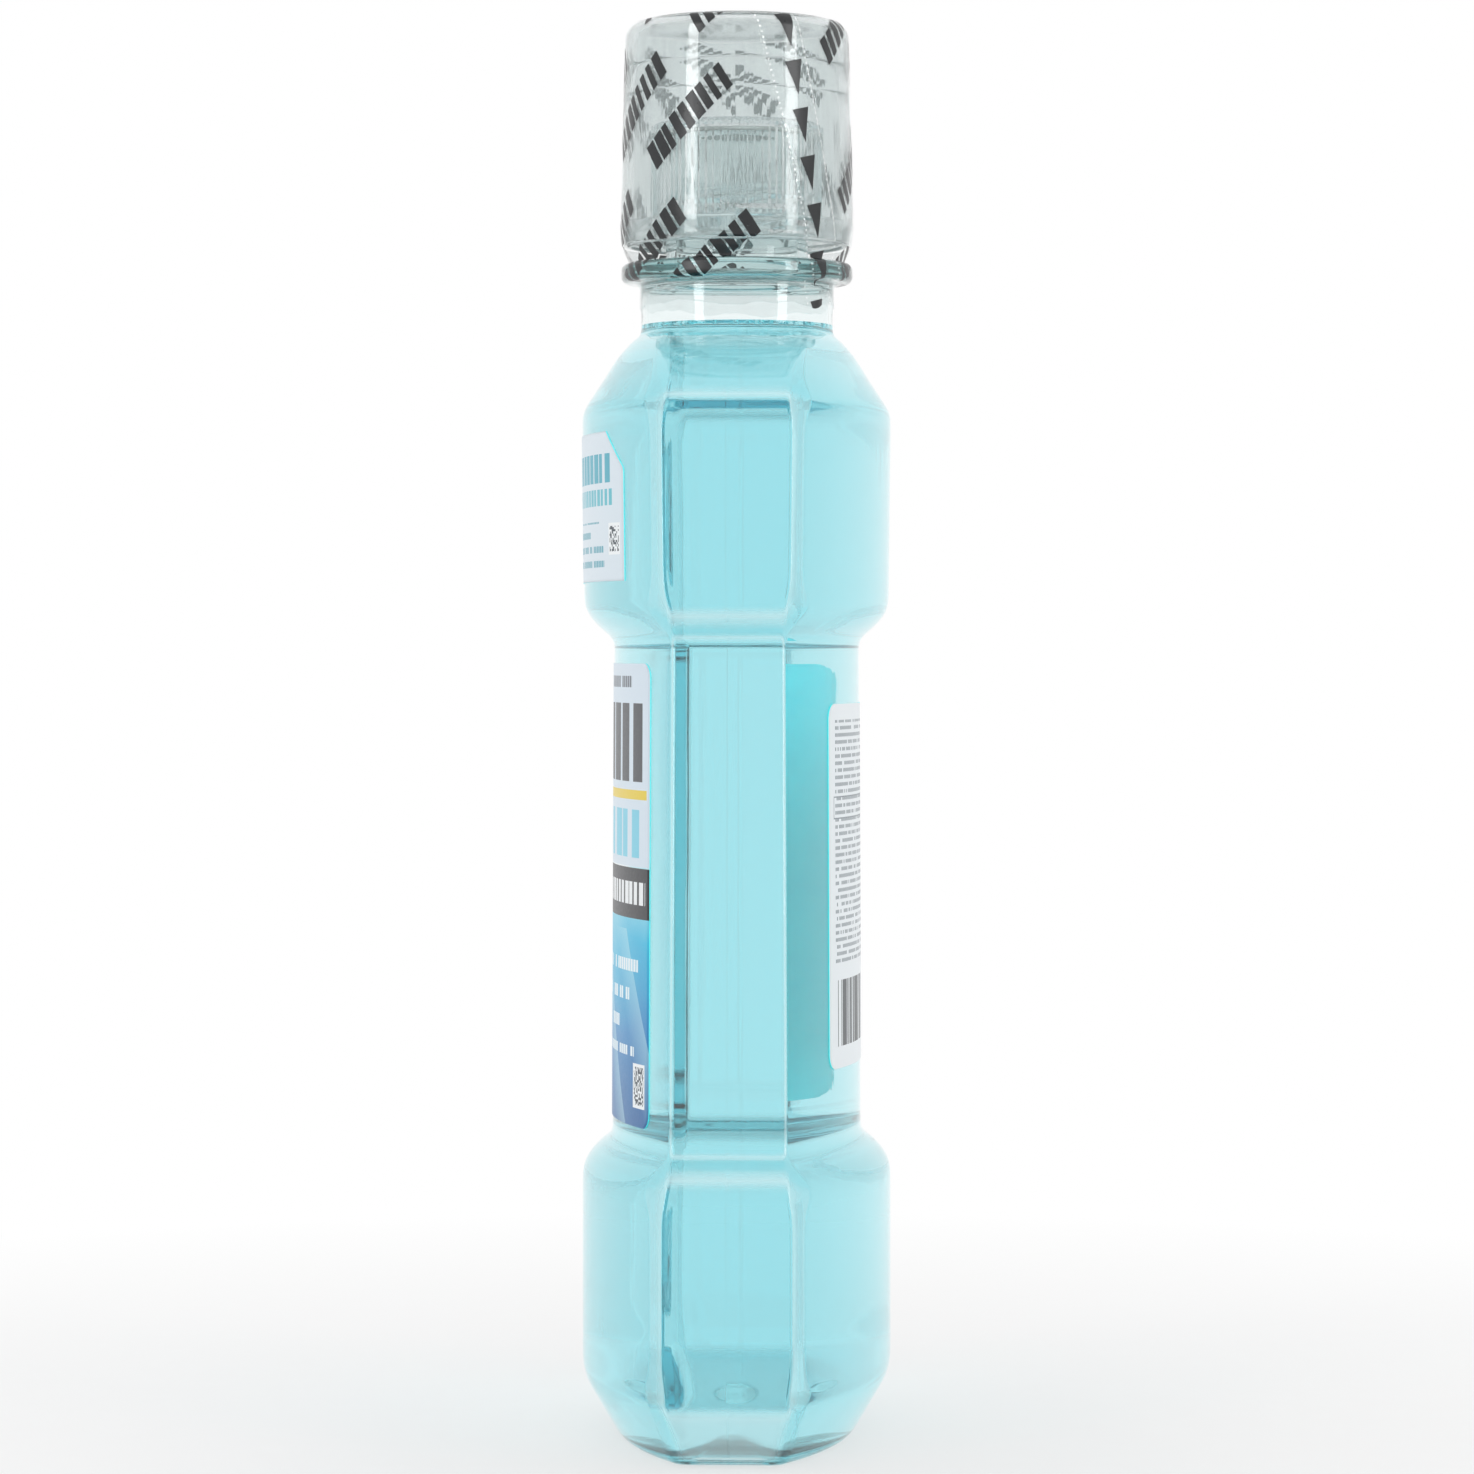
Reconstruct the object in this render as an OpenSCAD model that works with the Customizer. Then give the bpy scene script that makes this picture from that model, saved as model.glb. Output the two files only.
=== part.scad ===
// Clear mouthwash bottle: a blow-moulded body with two blocks and a narrow waist,
// a screw neck, a two-piece dosing cap under clear shrink film, and three labels.
// Millimetres. Z is up, X is the width, the front faces -Y, and the origin is the
// middle of the base.

/* [Blocks] */
// Width of the upper and lower blocks
block_w = 90; // [84:1:100]
// Depth of the upper block at its top
upper_top_d = 50.3; // [47:0.1:54]
// Depth of the upper block at its lower end
upper_low_d = 49.6; // [47:0.1:54]
// Depth of the lower block
lower_d = 50.2; // [47:0.1:54]
// How far a block's front bulges out past its side facet
block_bulge = 14.4; // [12:0.1:17]
// Radius of the upright corners of a block
block_corner_r = 3.2; // [1.5:0.1:5]
// Height of the straight part of the lower block
lower_h = 29.8; // [20:0.2:45]
// Height of the upper block
upper_h = 30.6; // [22:0.2:45]

/* [Foot] */
// Width of the foot that the bottle stands on
foot_w = 72; // [64:1:78]
// Depth of the foot
foot_d = 37.4; // [33:0.2:42]
// Width of the foot's side facet
foot_facet_w = 16; // [10:0.5:20]
// Height over which the foot widens to the lower block
foot_taper_h = 12.8; // [8:0.2:20]
// Radius of the foot's edge
foot_edge_r = 0.5; // [0.2:0.1:1]
// Width of the flat land round the foot
land_w = 4; // [2.5:0.5:6]
// Depth of the push-up in the base
push_up_h = 4.8; // [1:0.2:6]
// Width of the sloping rim of the push-up
push_up_rim_w = 3; // [2:0.5:5]

/* [Waist] */
// Width of the waist
waist_w = 80; // [72:1:83]
// Depth of the waist at its top
waist_top_d = 39.8; // [37:0.1:43]
// Depth of the waist at its lower end
waist_low_d = 40.4; // [37:0.1:43]
// How far the waist's front bulges out past its side facet
waist_bulge = 11.3; // [9:0.1:14]
// Radius of the upright corners of the waist
waist_corner_r = 1.8; // [1:0.1:3]
// Height of the waist
waist_h = 80.2; // [60:0.2:100]
// Height of the rounded step from the lower block in to the waist
lower_step_h = 6.2; // [4:0.2:10]
// Height of the rounded step from the waist out to the upper block
upper_step_h = 5.8; // [4:0.2:10]

/* [Shoulder and walls] */
// Height of the shoulder, from the upper block to the neck
shoulder_h = 13.6; // [10:0.2:20]
// Wall of the blown body
body_wall = 0.7; // [0.5:0.1:1.2]
// Space between the liquid and the wall round it
liquid_gap = 0.15; // [0.1:0.05:0.4]
// Height of the liquid's surface above the foot of the neck
fill_rise = 0.6; // [0.2:0.2:5]

/* [Neck] */
// Outside diameter of the plain neck below the support ring
neck_d = 31.4; // [28:0.2:34]
// Height of the plain neck
neck_h = 8.2; // [5:0.2:14]
// Diameter of the support ring
ring_d = 37.6; // [35.6:0.2:40]
// Height of the support ring
ring_h = 3; // [2.2:0.2:5]
// Radius of the support ring's edges
ring_edge_r = 1; // [0.4:0.1:1]
// Outside diameter of the threaded neck, at the foot of the thread
finish_d = 23.2; // [22:0.1:24]
// Bore of the mouth
bore_d = 20; // [17:0.2:21]
// Height of the threaded neck above the support ring
finish_h = 20.8; // [18:0.2:26]

/* [Thread] */
// Rise of the thread in one turn
thread_pitch = 4; // [3.6:0.1:4.6]
// Height of the thread above the neck
thread_depth = 0.8; // [0.5:0.1:1]
// Width of the thread at its foot
thread_foot_w = 1.7; // [1.4:0.1:1.7]
// Width of the thread at its crest
thread_crest_w = 0.9; // [0.6:0.1:1]
// Turns of thread on the neck
neck_turns = 1.75; // [1.25:0.25:2]
// Turns of thread inside the closure
cap_turns = 1.5; // [1:0.25:1.75]
// Space above the support ring where the neck's thread starts
thread_start = 7; // [6:0.2:8]

/* [Cap] */
// Largest outside diameter of the cup, near its rim
cup_d = 37.7; // [36.6:0.1:40]
// Outside diameter of the cup below its rounded top
cup_top_d = 36.2; // [35:0.1:39]
// Height of the cup
cup_h = 36.8; // [33:0.2:45]
// Wall of the cup
cup_wall = 1.2; // [0.8:0.1:1.6]
// Space between the support ring and the cup's rim
rim_gap = 2.8; // [1.8:0.2:4]
// Radius of the cup's top edge
cup_top_r = 3; // [2:0.2:4]
// Radius of the cup's lower edge
cup_rim_r = 1; // [0.4:0.1:1]
// Height of the cup's part below its widest place
cup_flare_h = 3.6; // [3:0.2:6]
// Height of the first dose line below the cup's top
dose_line_drop = 7.4; // [5:0.2:9]
// Distance from the first dose line to the second
dose_line_step = 4.7; // [3:0.1:6]
// Height of a dose line above the wall
dose_line_t = 0.2; // [0.1:0.05:0.4]
// Space between the closure's bore and the crest of the neck's thread
thread_gap = 0.45; // [0.35:0.05:0.7]
// Wall of the closure's skirt under its ribs
skirt_wall = 0.75; // [0.6:0.05:1.2]
// Height of the closure's ribs
rib_h = 0.45; // [0.2:0.05:0.6]
// Number of ribs round the closure
rib_count = 72; // [48:6:90]
// Thickness of the closure's top
closure_top_t = 1.2; // [0.8:0.1:2]
// Height of the closure's snap ring
snap_ring_h = 3.4; // [2.4:0.2:4]
// Space between the cup's rim and the closure's snap ring
snap_ring_rise = 0.7; // [0.5:0.1:1]
// Space round the closure's snap ring inside the cup
snap_gap = 0.12; // [0.08:0.02:0.2]
// How far the cup's ledge and bead reach in
snap_depth = 0.35; // [0.25:0.05:0.5]
// Thickness of the sealing disc
liner_t = 0.8; // [0.5:0.1:1.2]
// Space above and below the sealing disc
liner_gap = 0.05; // [0.03:0.01:0.1]
// Space between the sealing disc and the closure's bore
liner_edge_gap = 0.3; // [0.2:0.05:0.5]

/* [Film] */
// Thickness of the shrink film
film_t = 0.15; // [0.1:0.05:0.25]
// Space between the film and what it is shrunk on
film_gap = 0.08; // [0.05:0.01:0.15]
// Height of the sleeve's lower edge above the cup's rim
sleeve_low = 1; // [0.6:0.1:2]
// Share of the cup's rounded top edge that the sleeve covers
sleeve_turn_share = 0.6; // [0.3:0.05:0.8]
// Width of the tear strip
strip_w = 7; // [4:0.5:9]
// Width of the torn line beside the strip
strip_gap = 0.15; // [0.1:0.05:0.3]
// Direction of the strip's middle, turned from +X towards +Y
strip_turn = 36; // [0:1:90]
// Lean of the strip from upright
strip_lean = 13; // [0:0.2:16]
// How far the skirt necks in between the cap and the support ring
skirt_tuck = 1; // [0.5:0.1:1.4]
// Space between the skirt's top and the cup's rim
skirt_gap = 0.4; // [0.3:0.1:0.8]
// Length of the skirt on the neck below the support ring
skirt_h = 3.4; // [1:0.2:4.6]

/* [Labels] */
// Thickness of a label
label_t = 0.12; // [0.08:0.02:0.2]
// Space for the glue under a label
glue_t = 0.06; // [0.04:0.01:0.12]
// Radius of the labels' corners
label_corner_r = 2.5; // [1:0.5:5]
// Width of the front label
front_w = 69; // [50:1:70]
// Height of the front label
front_h = 73.3; // [40:0.5:76]
// Space between the front label and the top of the waist
front_drop = 3.6; // [2:0.2:6]
// Width of the back label
back_w = 54; // [40:1:68]
// Height of the back label
back_h = 58; // [40:1:64]
// Space between the back label and the top of the waist
back_drop = 10.1; // [6:0.1:12]
// Width of the shoulder label
shoulder_label_w = 74; // [50:1:76]
// Height of the shoulder label
shoulder_label_h = 23.8; // [16:0.2:26]
// Space between the shoulder label and the top of the upper block
shoulder_label_drop = 3.6; // [2:0.2:5]
// Width cut off each upper corner of the shoulder label
cut_w = 7.5; // [4:0.5:10]
// Height cut off each upper corner of the shoulder label
cut_h = 6.1; // [4:0.1:8]

/* [Detail] */
// Steps in half a side facet
facet_steps = 3; // [2:1:4]
// Steps round an upright corner
corner_steps = 3; // [2:1:4]
// Steps in half a curved front
front_steps = 5; // [4:1:8]
// Steps in a rounded step between block and waist
step_steps = 4; // [3:1:6]
// Steps in one turn of thread
thread_steps = 32; // [24:4:40]

/* [Hidden] */

// Heights of the body, from the base up
lower_z = foot_taper_h;
lower_top_z = lower_z + lower_h;
waist_z = lower_top_z + lower_step_h;
waist_top_z = waist_z + waist_h;
upper_z = waist_top_z + upper_step_h;
upper_top_z = upper_z + upper_h;
neck_z = upper_top_z + shoulder_h;
ring_z = neck_z + neck_h;
ring_top_z = ring_z + ring_h;
mouth_z = ring_top_z + finish_h;
fill_z = neck_z + fill_rise;

// Side facets, half widths
lower_facet = lower_d / 2 - block_bulge;
upper_facet = upper_top_d / 2 - block_bulge;
neck_r = neck_d / 2;

// The foot's outline steps in by the edge, the land and the rim of the push-up
land_in = foot_edge_r + land_w;
push_in = land_in + push_up_rim_w;

// The step between the blown skin and the exact ring of the neck above it
neck_skin_step = body_wall / 8;
neck_lap = 2 * body_wall;

// One overrun for every cut
cut = 0.5;

// Shares of height and of the way out, for the foot's taper
taper_shares = [[0.04, 0.07], [0.6, 0.73], [0.73, 0.88], [0.86, 0.97], [1, 1]];
// Shares of height, of the way in along the width and along the depth, for the shoulder,
// and of roundness at the neck
shoulder_shares = [[0, 0, 0, 0], [0.05, 0.006, 0.02, 0], [0.1, 0.02, 0.065, 0],
                   [0.4, 0.2, 0.345, 0], [0.7, 0.5, 0.61, 0], [0.85, 0.73, 0.79, 0.1],
                   [0.95, 0.93, 0.945, 0.6], [1, 1, 1, 1]];
// How strongly the steps above and below the waist are rounded
lower_round_share = 2;
upper_round_share = 1.65;
// Share of the foot's half depth that the slope of the push-up takes
push_up_share = 0.62;
// Share of a step's full height at the two ends of a thread
end_share = 0.3;
// Share of a quarter turn where the facet and the corner end on the round neck
neck_facet_share = 0.42;
neck_corner_share = 0.55;

function mix(a, b, share) = a + (b - a) * share;

// The radius of a curved front that bulges by `bulge` over half the width `a`
function front_r(a, bulge) = (a * a + bulge * bulge) / (2 * bulge);

// A level of the body: height, half width, half depth, half facet, corner radius,
// roundness and how many walls the inner skin lies above the outer one
function level(z, a, b, c, r, roundness, rise) = [z, a, b, c, r, roundness, rise];

function foot_level(height_share, way_share, rise) =
    level(foot_taper_h * height_share,
          mix(foot_w / 2, block_w / 2, way_share),
          mix(foot_d / 2, lower_d / 2, way_share),
          mix(foot_facet_w / 2, lower_facet, way_share),
          block_corner_r, 0, rise);

function base_level(z, inset) =
    let (small = 1 - inset / (foot_d / 2))
    level(z, foot_w / 2 - inset, foot_d / 2 - inset, foot_facet_w / 2 * small,
          block_corner_r / 2 * small, 0, 2);

function step_level(z, block_d, waist_d, way_share, rise) =
    let (b = mix(block_d, waist_d, way_share) / 2)
    level(z,
          mix(block_w, waist_w, way_share) / 2,
          b,
          b - mix(block_bulge, waist_bulge, way_share),
          mix(block_corner_r, waist_corner_r, way_share), 0, rise);

function shoulder_level(shares) =
    level(mix(upper_top_z, neck_z, shares[0]),
          mix(block_w / 2, neck_r - neck_skin_step, shares[1]),
          mix(upper_top_d / 2, neck_r - neck_skin_step, shares[2]),
          upper_facet, block_corner_r, shares[3], -1 + shares[3]);

// All levels of the blown skin, from the middle of the base to the neck
base_levels = [base_level(push_up_h, foot_d / 2 * push_up_share),
               base_level(push_up_h * 2 / 3, push_in),
               base_level(0, land_in),
               base_level(0, foot_edge_r)];
side_levels = concat(
    [for (s = taper_shares) foot_level(s[0], s[1], 1 - s[0])],
    [for (i = [0:step_steps])
        let (s = i / step_steps)
        step_level(mix(lower_top_z, waist_z, s), lower_d, waist_low_d,
                   pow(s, lower_round_share), -s * (1 - s))],
    [for (i = [step_steps:-1:0])
        let (s = i / step_steps)
        step_level(mix(upper_z, waist_top_z, s), upper_low_d, waist_top_d,
                   pow(s, upper_round_share), s * (1 - s))],
    [for (s = shoulder_shares) shoulder_level(s)]);
neck_levels = [level(ring_z - body_wall, neck_r - neck_skin_step, neck_r - neck_skin_step,
                     upper_facet, block_corner_r, 1, 0)];
skin_levels = concat(base_levels, side_levels, neck_levels);

// A quarter of a level's outline, with `inset` taken off all round
function quarter(lv, inset) =
    let (a = lv[1] - inset,
         b = lv[2] - inset,
         c = max(lv[3] - inset * 0.4, lv[3] / 2),
         r = max(lv[4] - inset, lv[4] / 3),
         big = front_r(a, b - c),
         yc = sqrt(pow(big - r, 2) - pow(a - r, 2)) - (big - b),
         turn = atan2(yc + big - b, a - r),
         flat_pts = [for (i = [0:facet_steps]) [a, yc * i / facet_steps]],
         corner_pts = [for (i = [1:corner_steps])
             let (t = turn * i / corner_steps)
             [a - r + r * cos(t), yc + r * sin(t)]],
         front_pts = [for (i = [1:front_steps])
             let (t = mix(turn, 90, i / front_steps))
             [big * cos(t), b - big + big * sin(t)]],
         all_pts = concat(flat_pts, corner_pts, front_pts),
         last = len(all_pts) - 1)
    [for (i = [0:last])
        let (s = i <= facet_steps
                ? neck_facet_share * i / facet_steps
                : i <= facet_steps + corner_steps
                ? mix(neck_facet_share, neck_corner_share, (i - facet_steps) / corner_steps)
                : mix(neck_corner_share, 1, (i - facet_steps - corner_steps) / front_steps))
        [mix(all_pts[i][0], a * cos(90 * s), lv[5]),
         mix(all_pts[i][1], b * sin(90 * s), lv[5])]];

// The whole outline of a level as points in space
function outline(lv, inset) =
    let (q = quarter(lv, inset),
         n = len(q) - 1,
         z = lv[0] + lv[6] * inset)
    concat(
        [for (i = [0:n - 1]) [q[i][0], q[i][1], z]],
        [for (i = [n:-1:1]) [-q[i][0], q[i][1], z]],
        [for (i = [0:n - 1]) [-q[i][0], -q[i][1], z]],
        [for (i = [n:-1:1]) [q[i][0], -q[i][1], z]]);

// The middle of a ring of points
function middle(ring) = [for (j = [0:2]) [for (p = ring) p[j]] * [for (p = ring) 1]] / len(ring);

// A closed skin through rings of points, each ring seen anticlockwise from above
module skin(rings) {
    n = len(rings[0]);
    last = len(rings) - 1;
    ends = n * len(rings);
    sides = [for (k = [0:last - 1]) for (i = [0:n - 1])
        let (p = k * n + i,
             q = k * n + (i + 1) % n)
        each [[p, q + n, q], [p, p + n, q + n]]];
    caps = [for (i = [0:n - 1])
        let (j = (i + 1) % n)
        each [[i, j, ends], [last * n + j, last * n + i, ends + 1]]];
    polyhedron(
        points = concat([for (ring = rings) each ring], [middle(rings[0]), middle(rings[last])]),
        faces = concat(sides, caps),
        convexity = 6);
}

// The blown wall: the outer skin from the base up, then the inner skin back down
module blown_shell() {
    outer = [for (lv = skin_levels) outline(lv, 0)];
    top = len(skin_levels) - 1;
    inner = [for (k = [top:-1:0]) outline(skin_levels[k], body_wall)];
    skin(concat(outer, inner));
}

// A helical ridge; `base_r` is the wall it stands on, `way` is 1 outwards and -1 inwards
module thread(base_r, way, turns, start_z) {
    steps = round(turns * thread_steps);
    root = base_r - way * thread_depth / 2;
    fade = thread_steps / 8;
    rings = [for (i = [0:steps])
        let (t = 360 * i / thread_steps,
             z = start_z + thread_pitch * i / thread_steps,
             full = min(1, (i + end_share) / fade, (steps - i + end_share) / fade),
             crest = base_r + way * thread_depth * full,
             foot_w = thread_foot_w / 2,
             top_w = mix(foot_w, thread_crest_w / 2, full),
             section = [[root, -foot_w], [root, foot_w], [crest, top_w], [crest, -top_w]])
        [for (j = [0:3])
            let (p = section[way > 0 ? j : 3 - j])
            [p[0] * cos(t), p[0] * sin(t), z + p[1]]]];
    skin(rings);
}

module tube(r_out, r_in, z0, z1) {
    translate([0, 0, z0])
    difference() {
        cylinder(r = r_out, h = z1 - z0, $fn = 96);
        translate([0, 0, -cut])
        cylinder(r = r_in, h = z1 - z0 + 2 * cut, $fn = 96);
    }
}

// A quarter arc of points round `centre`, from angle `from` to angle `to`
function arc(centre, r, from, to, steps = 6) =
    [for (i = [0:steps])
        let (t = mix(from, to, i / steps))
        centre + [r * cos(t), r * sin(t)]];

// The support ring's outline, from its lower edge to its upper edge
function ring_edge(grow) =
    concat(arc([ring_d / 2 - ring_edge_r, ring_z + ring_edge_r], ring_edge_r + grow, -90, 0),
           arc([ring_d / 2 - ring_edge_r, ring_top_z - ring_edge_r], ring_edge_r + grow, 0, 90));

module bottle_body() {
    color([0.62, 0.88, 0.91, 0.5])
    union() {
        blown_shell();
        tube(neck_r, neck_r - body_wall, ring_z - neck_lap, ring_z + ring_h / 2);
        difference() {
            rotate_extrude($fn = 96)
            polygon(concat([[0, ring_z]], ring_edge(0), [[0, ring_top_z]]));
            translate([0, 0, ring_z - cut])
            cylinder(d = bore_d, h = ring_h + 2 * cut, $fn = 96);
        }
        tube(finish_d / 2, bore_d / 2, ring_z + ring_h / 2, mouth_z);
        thread(finish_d / 2, 1, neck_turns, ring_top_z + thread_start);
    }
}

// The liquid lies inside the blown wall, up to just above the foot of the neck
module mouthwash() {
    inset = body_wall + liquid_gap;
    surface = level(fill_z, neck_r - neck_skin_step, neck_r - neck_skin_step,
                    upper_facet, block_corner_r, 1, 0);
    rings = [for (lv = concat(base_levels, side_levels, [surface])) outline(lv, inset)];
    color([0.2, 0.65, 0.75, 0.7])
    skin(rings);
}

// The cup's heights and radii
cup_z = ring_top_z + rim_gap;
cup_top_z = cup_z + cup_h;
cup_r = cup_d / 2;
cup_top_edge_r = cup_top_d / 2;
cup_rim_out_r = cup_r - cup_rim_r / 2;
cup_wide_z = cup_z + cup_flare_h;
cup_round_z = cup_top_z - cup_top_r;

// The cup's side and rounded top edge, `grow` outside the cup
function cup_side(grow, turn_share) =
    concat([[cup_r + grow, cup_wide_z], [cup_top_edge_r + grow, cup_round_z]],
           arc([cup_top_edge_r - cup_top_r, cup_round_z], cup_top_r + grow, 10,
               90 * turn_share, 8));

// Radius of the cup's inside at its wide end and below its rounded top
cup_in_r = cup_r - cup_wall;
cup_in_top_r = cup_top_edge_r - cup_wall;
snap_ring_r = cup_in_r - snap_gap;
snap_z = cup_z + snap_ring_rise;
snap_top_z = snap_z + snap_ring_h;
cup_in_round = cup_top_r - cup_wall;
cup_in_top_z = cup_top_z - cup_wall;

function dose_z(k) = cup_top_z - dose_line_drop - k * dose_line_step;
function cup_in_at(z) =
    mix(cup_in_r, cup_in_top_r, (z - cup_wide_z) / (cup_round_z - cup_wide_z));

module dosing_cup() {
    color([0.78, 0.86, 0.86, 0.4])
    difference() {
        rotate_extrude($fn = 96)
        polygon(concat([[0, cup_z], [cup_rim_out_r - cup_rim_r, cup_z]],
                       arc([cup_rim_out_r - cup_rim_r, cup_z + cup_rim_r], cup_rim_r, -80, 0),
                       cup_side(0, 1),
                       [[0, cup_top_z]]));
        rotate_extrude($fn = 96)
        polygon(concat([[0, cup_z - cut],
                        [cup_in_r - snap_depth, cup_z - cut],
                        [cup_in_r - snap_depth, cup_z + snap_ring_rise / 2],
                        [cup_in_r, snap_z - snap_gap],
                        [cup_in_r, snap_top_z],
                        [cup_in_r - snap_depth, snap_top_z],
                        [cup_in_r - snap_depth, snap_top_z + snap_depth]],
                       [for (k = [1:-1:0]) each dose_notch(dose_z(k))],
                       [[cup_in_top_r - snap_depth, cup_round_z]],
                       arc([cup_in_top_r - snap_depth - cup_in_round, cup_round_z],
                           cup_in_round, 10, 90),
                       [[0, cup_in_top_z]]));
    }
}

// A dose line stands in from the cup's wall by its own height
function dose_notch(z) =
    let (r = cup_in_at(z) - snap_depth)
    [[r, z - dose_line_t], [r - dose_line_t, z], [r, z + dose_line_t]];

// The closure's heights and radii follow the neck and the cup
closure_bore_r = finish_d / 2 + thread_depth + thread_gap;
skirt_r = closure_bore_r + skirt_wall;
closure_in_top_z = mouth_z + 2 * liner_gap + liner_t;
closure_top_z = closure_in_top_z + closure_top_t;
rib_share = 0.5;

module inner_closure() {
    pitch = 360 / rib_count;
    color([0.82, 0.88, 0.88, 0.5])
    union() {
        difference() {
            union() {
                translate([0, 0, snap_z])
                cylinder(r = snap_ring_r, h = snap_ring_h, $fn = 96);
                translate([0, 0, snap_z + snap_ring_h / 2])
                linear_extrude(closure_top_z - snap_z - snap_ring_h / 2)
                polygon([for (k = [0:rib_count - 1])
                    let (a0 = pitch * k,
                         a1 = a0 + pitch * rib_share * rib_share,
                         a2 = a0 + pitch * rib_share,
                         a3 = a2 + pitch * rib_share * rib_share)
                    each [skirt_r * [cos(a0), sin(a0)],
                          (skirt_r + rib_h) * [cos(a1), sin(a1)],
                          (skirt_r + rib_h) * [cos(a2), sin(a2)],
                          skirt_r * [cos(a3), sin(a3)]]]);
            }
            translate([0, 0, snap_z - cut])
            cylinder(r = closure_bore_r, h = closure_in_top_z - snap_z + cut, $fn = 96);
        }
        thread(closure_bore_r, -1, cap_turns,
               ring_top_z + thread_start - thread_pitch / 2);
    }
}

module seal_liner() {
    color([0.95, 0.95, 0.93])
    translate([0, 0, mouth_z + liner_gap])
    cylinder(r = closure_bore_r - liner_edge_gap, h = liner_t, $fn = 96);
}

// A thin wall along a line of points, `film_t` thick
module film_wall(inner, outer) {
    rotate_extrude($fn = 96)
    polygon(concat(outer, [for (i = [len(inner) - 1:-1:0]) inner[i]]));
}

function sleeve_line(grow) =
    concat([[cup_r + grow, cup_z + sleeve_low]], cup_side(grow, sleeve_turn_share));

module whole_sleeve() {
    film_wall(sleeve_line(film_gap), sleeve_line(film_gap + film_t));
}

// The slab that cuts the strip out of the sleeve, leaning as the film does
module strip_slab(w) {
    mid_z = (cup_z + cup_top_z) / 2;
    rotate([0, 0, strip_turn])
    translate([cup_r, 0, mid_z])
    rotate([strip_lean, 0, 0])
    cube([cup_r, w, 2 * cup_h], center = true);
}

module film_sleeve() {
    color([0.9, 0.95, 0.95, 0.25])
    difference() {
        whole_sleeve();
        strip_slab(strip_w);
    }
}

module tear_strip() {
    color([0.15, 0.15, 0.15, 0.6])
    intersection() {
        whole_sleeve();
        strip_slab(strip_w - 2 * strip_gap);
    }
}

// The skirt covers the support ring, necks in under the cap and grips the neck
function skirt_line(grow) =
    let (in_r = neck_r + grow,
         tuck_r = ring_d / 2 - skirt_tuck)
    concat([[in_r, ring_z - skirt_h], [in_r, ring_z - film_gap - film_t - 2 * grow]],
           ring_edge(grow),
           [[tuck_r + grow, ring_top_z + (rim_gap - skirt_gap) / 3],
            [tuck_r + grow + skirt_tuck / 3, ring_top_z + rim_gap - skirt_gap]]);

module film_skirt() {
    color([0.9, 0.95, 0.95, 0.25])
    film_wall(skirt_line(film_gap), skirt_line(film_gap + film_t));
}

// The labels' outlines, seen from the front, with their middle at zero
module label_outline(w, h) {
    union() {
        square([w - 2 * label_corner_r, h], center = true);
        square([w, h - 2 * label_corner_r], center = true);
        for (x = [-1, 1], z = [-1, 1])
            translate([x * (w / 2 - label_corner_r), z * (h / 2 - label_corner_r)])
            circle(label_corner_r, $fn = 32);
    }
}

module shoulder_outline() {
    w = shoulder_label_w / 2;
    h = shoulder_label_h / 2;
    polygon([[-w, -h], [w, -h], [w, h - cut_h], [w - cut_w, h], [cut_w - w, h], [-w, h - cut_h]]);
}

// A curved label on a front: `side` is -1 on the front and 1 on the back
module stuck_label(side, mid_z, half_d, bulge, half_w, lean, w) {
    r = front_r(half_w, bulge);
    // The more a label leans, the more room it needs at its side edges
    lean_room = (r - sqrt(r * r - w * w / 4)) * (1 / cos(lean) - 1);
    label_r = r + glue_t + lean_room;
    reach = half_d;
    translate([0, side * half_d, mid_z])
    rotate([side * lean, 0, 0])
    intersection() {
        translate([0, -side * r, 0])
        tube(label_r + label_t, label_r, -reach * 2, reach * 2);
        rotate([90, 0, 0])
        linear_extrude(reach, center = true)
        children();
    }
}

// How far a front leans, from its depth at two heights
function front_lean(top_d, low_d, h) = atan((top_d - low_d) / 2 / h);

module waist_label(side, drop, w, h) {
    mid_z = waist_top_z - drop - h / 2;
    half_d = mix(waist_low_d, waist_top_d, (mid_z - waist_z) / waist_h) / 2;
    stuck_label(side, mid_z, half_d, waist_bulge, waist_w / 2,
                -front_lean(waist_top_d, waist_low_d, waist_h), w)
    label_outline(w, h);
}

module front_label() {
    color([0.1, 0.6, 0.85])
    waist_label(-1, front_drop, front_w, front_h);
}

module back_label() {
    color([0.9, 0.93, 0.95])
    waist_label(1, back_drop, back_w, back_h);
}

module shoulder_label() {
    mid_z = upper_top_z - shoulder_label_drop - shoulder_label_h / 2;
    half_d = mix(upper_low_d, upper_top_d, (mid_z - upper_z) / upper_h) / 2;
    color([0.8, 0.9, 0.95])
    stuck_label(-1, mid_z, half_d, block_bulge, block_w / 2,
                -front_lean(upper_top_d, upper_low_d, upper_h), shoulder_label_w)
    shoulder_outline();
}

bottle_body();
mouthwash();
dosing_cup();
inner_closure();
seal_liner();
film_sleeve();
tear_strip();
film_skirt();
front_label();
back_label();
shoulder_label();
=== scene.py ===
"""The looks of a mouthwash bottle: a blown clear body full of blue-green liquid, three curved
labels, and a clear dosing cup with its closure under printed shrink film."""
import functools
import random
from math import atan2, ceil, cos, dist, exp, hypot, pi, radians, sin, sqrt, tan

import bmesh
import bpy
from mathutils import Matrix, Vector, noise


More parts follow.
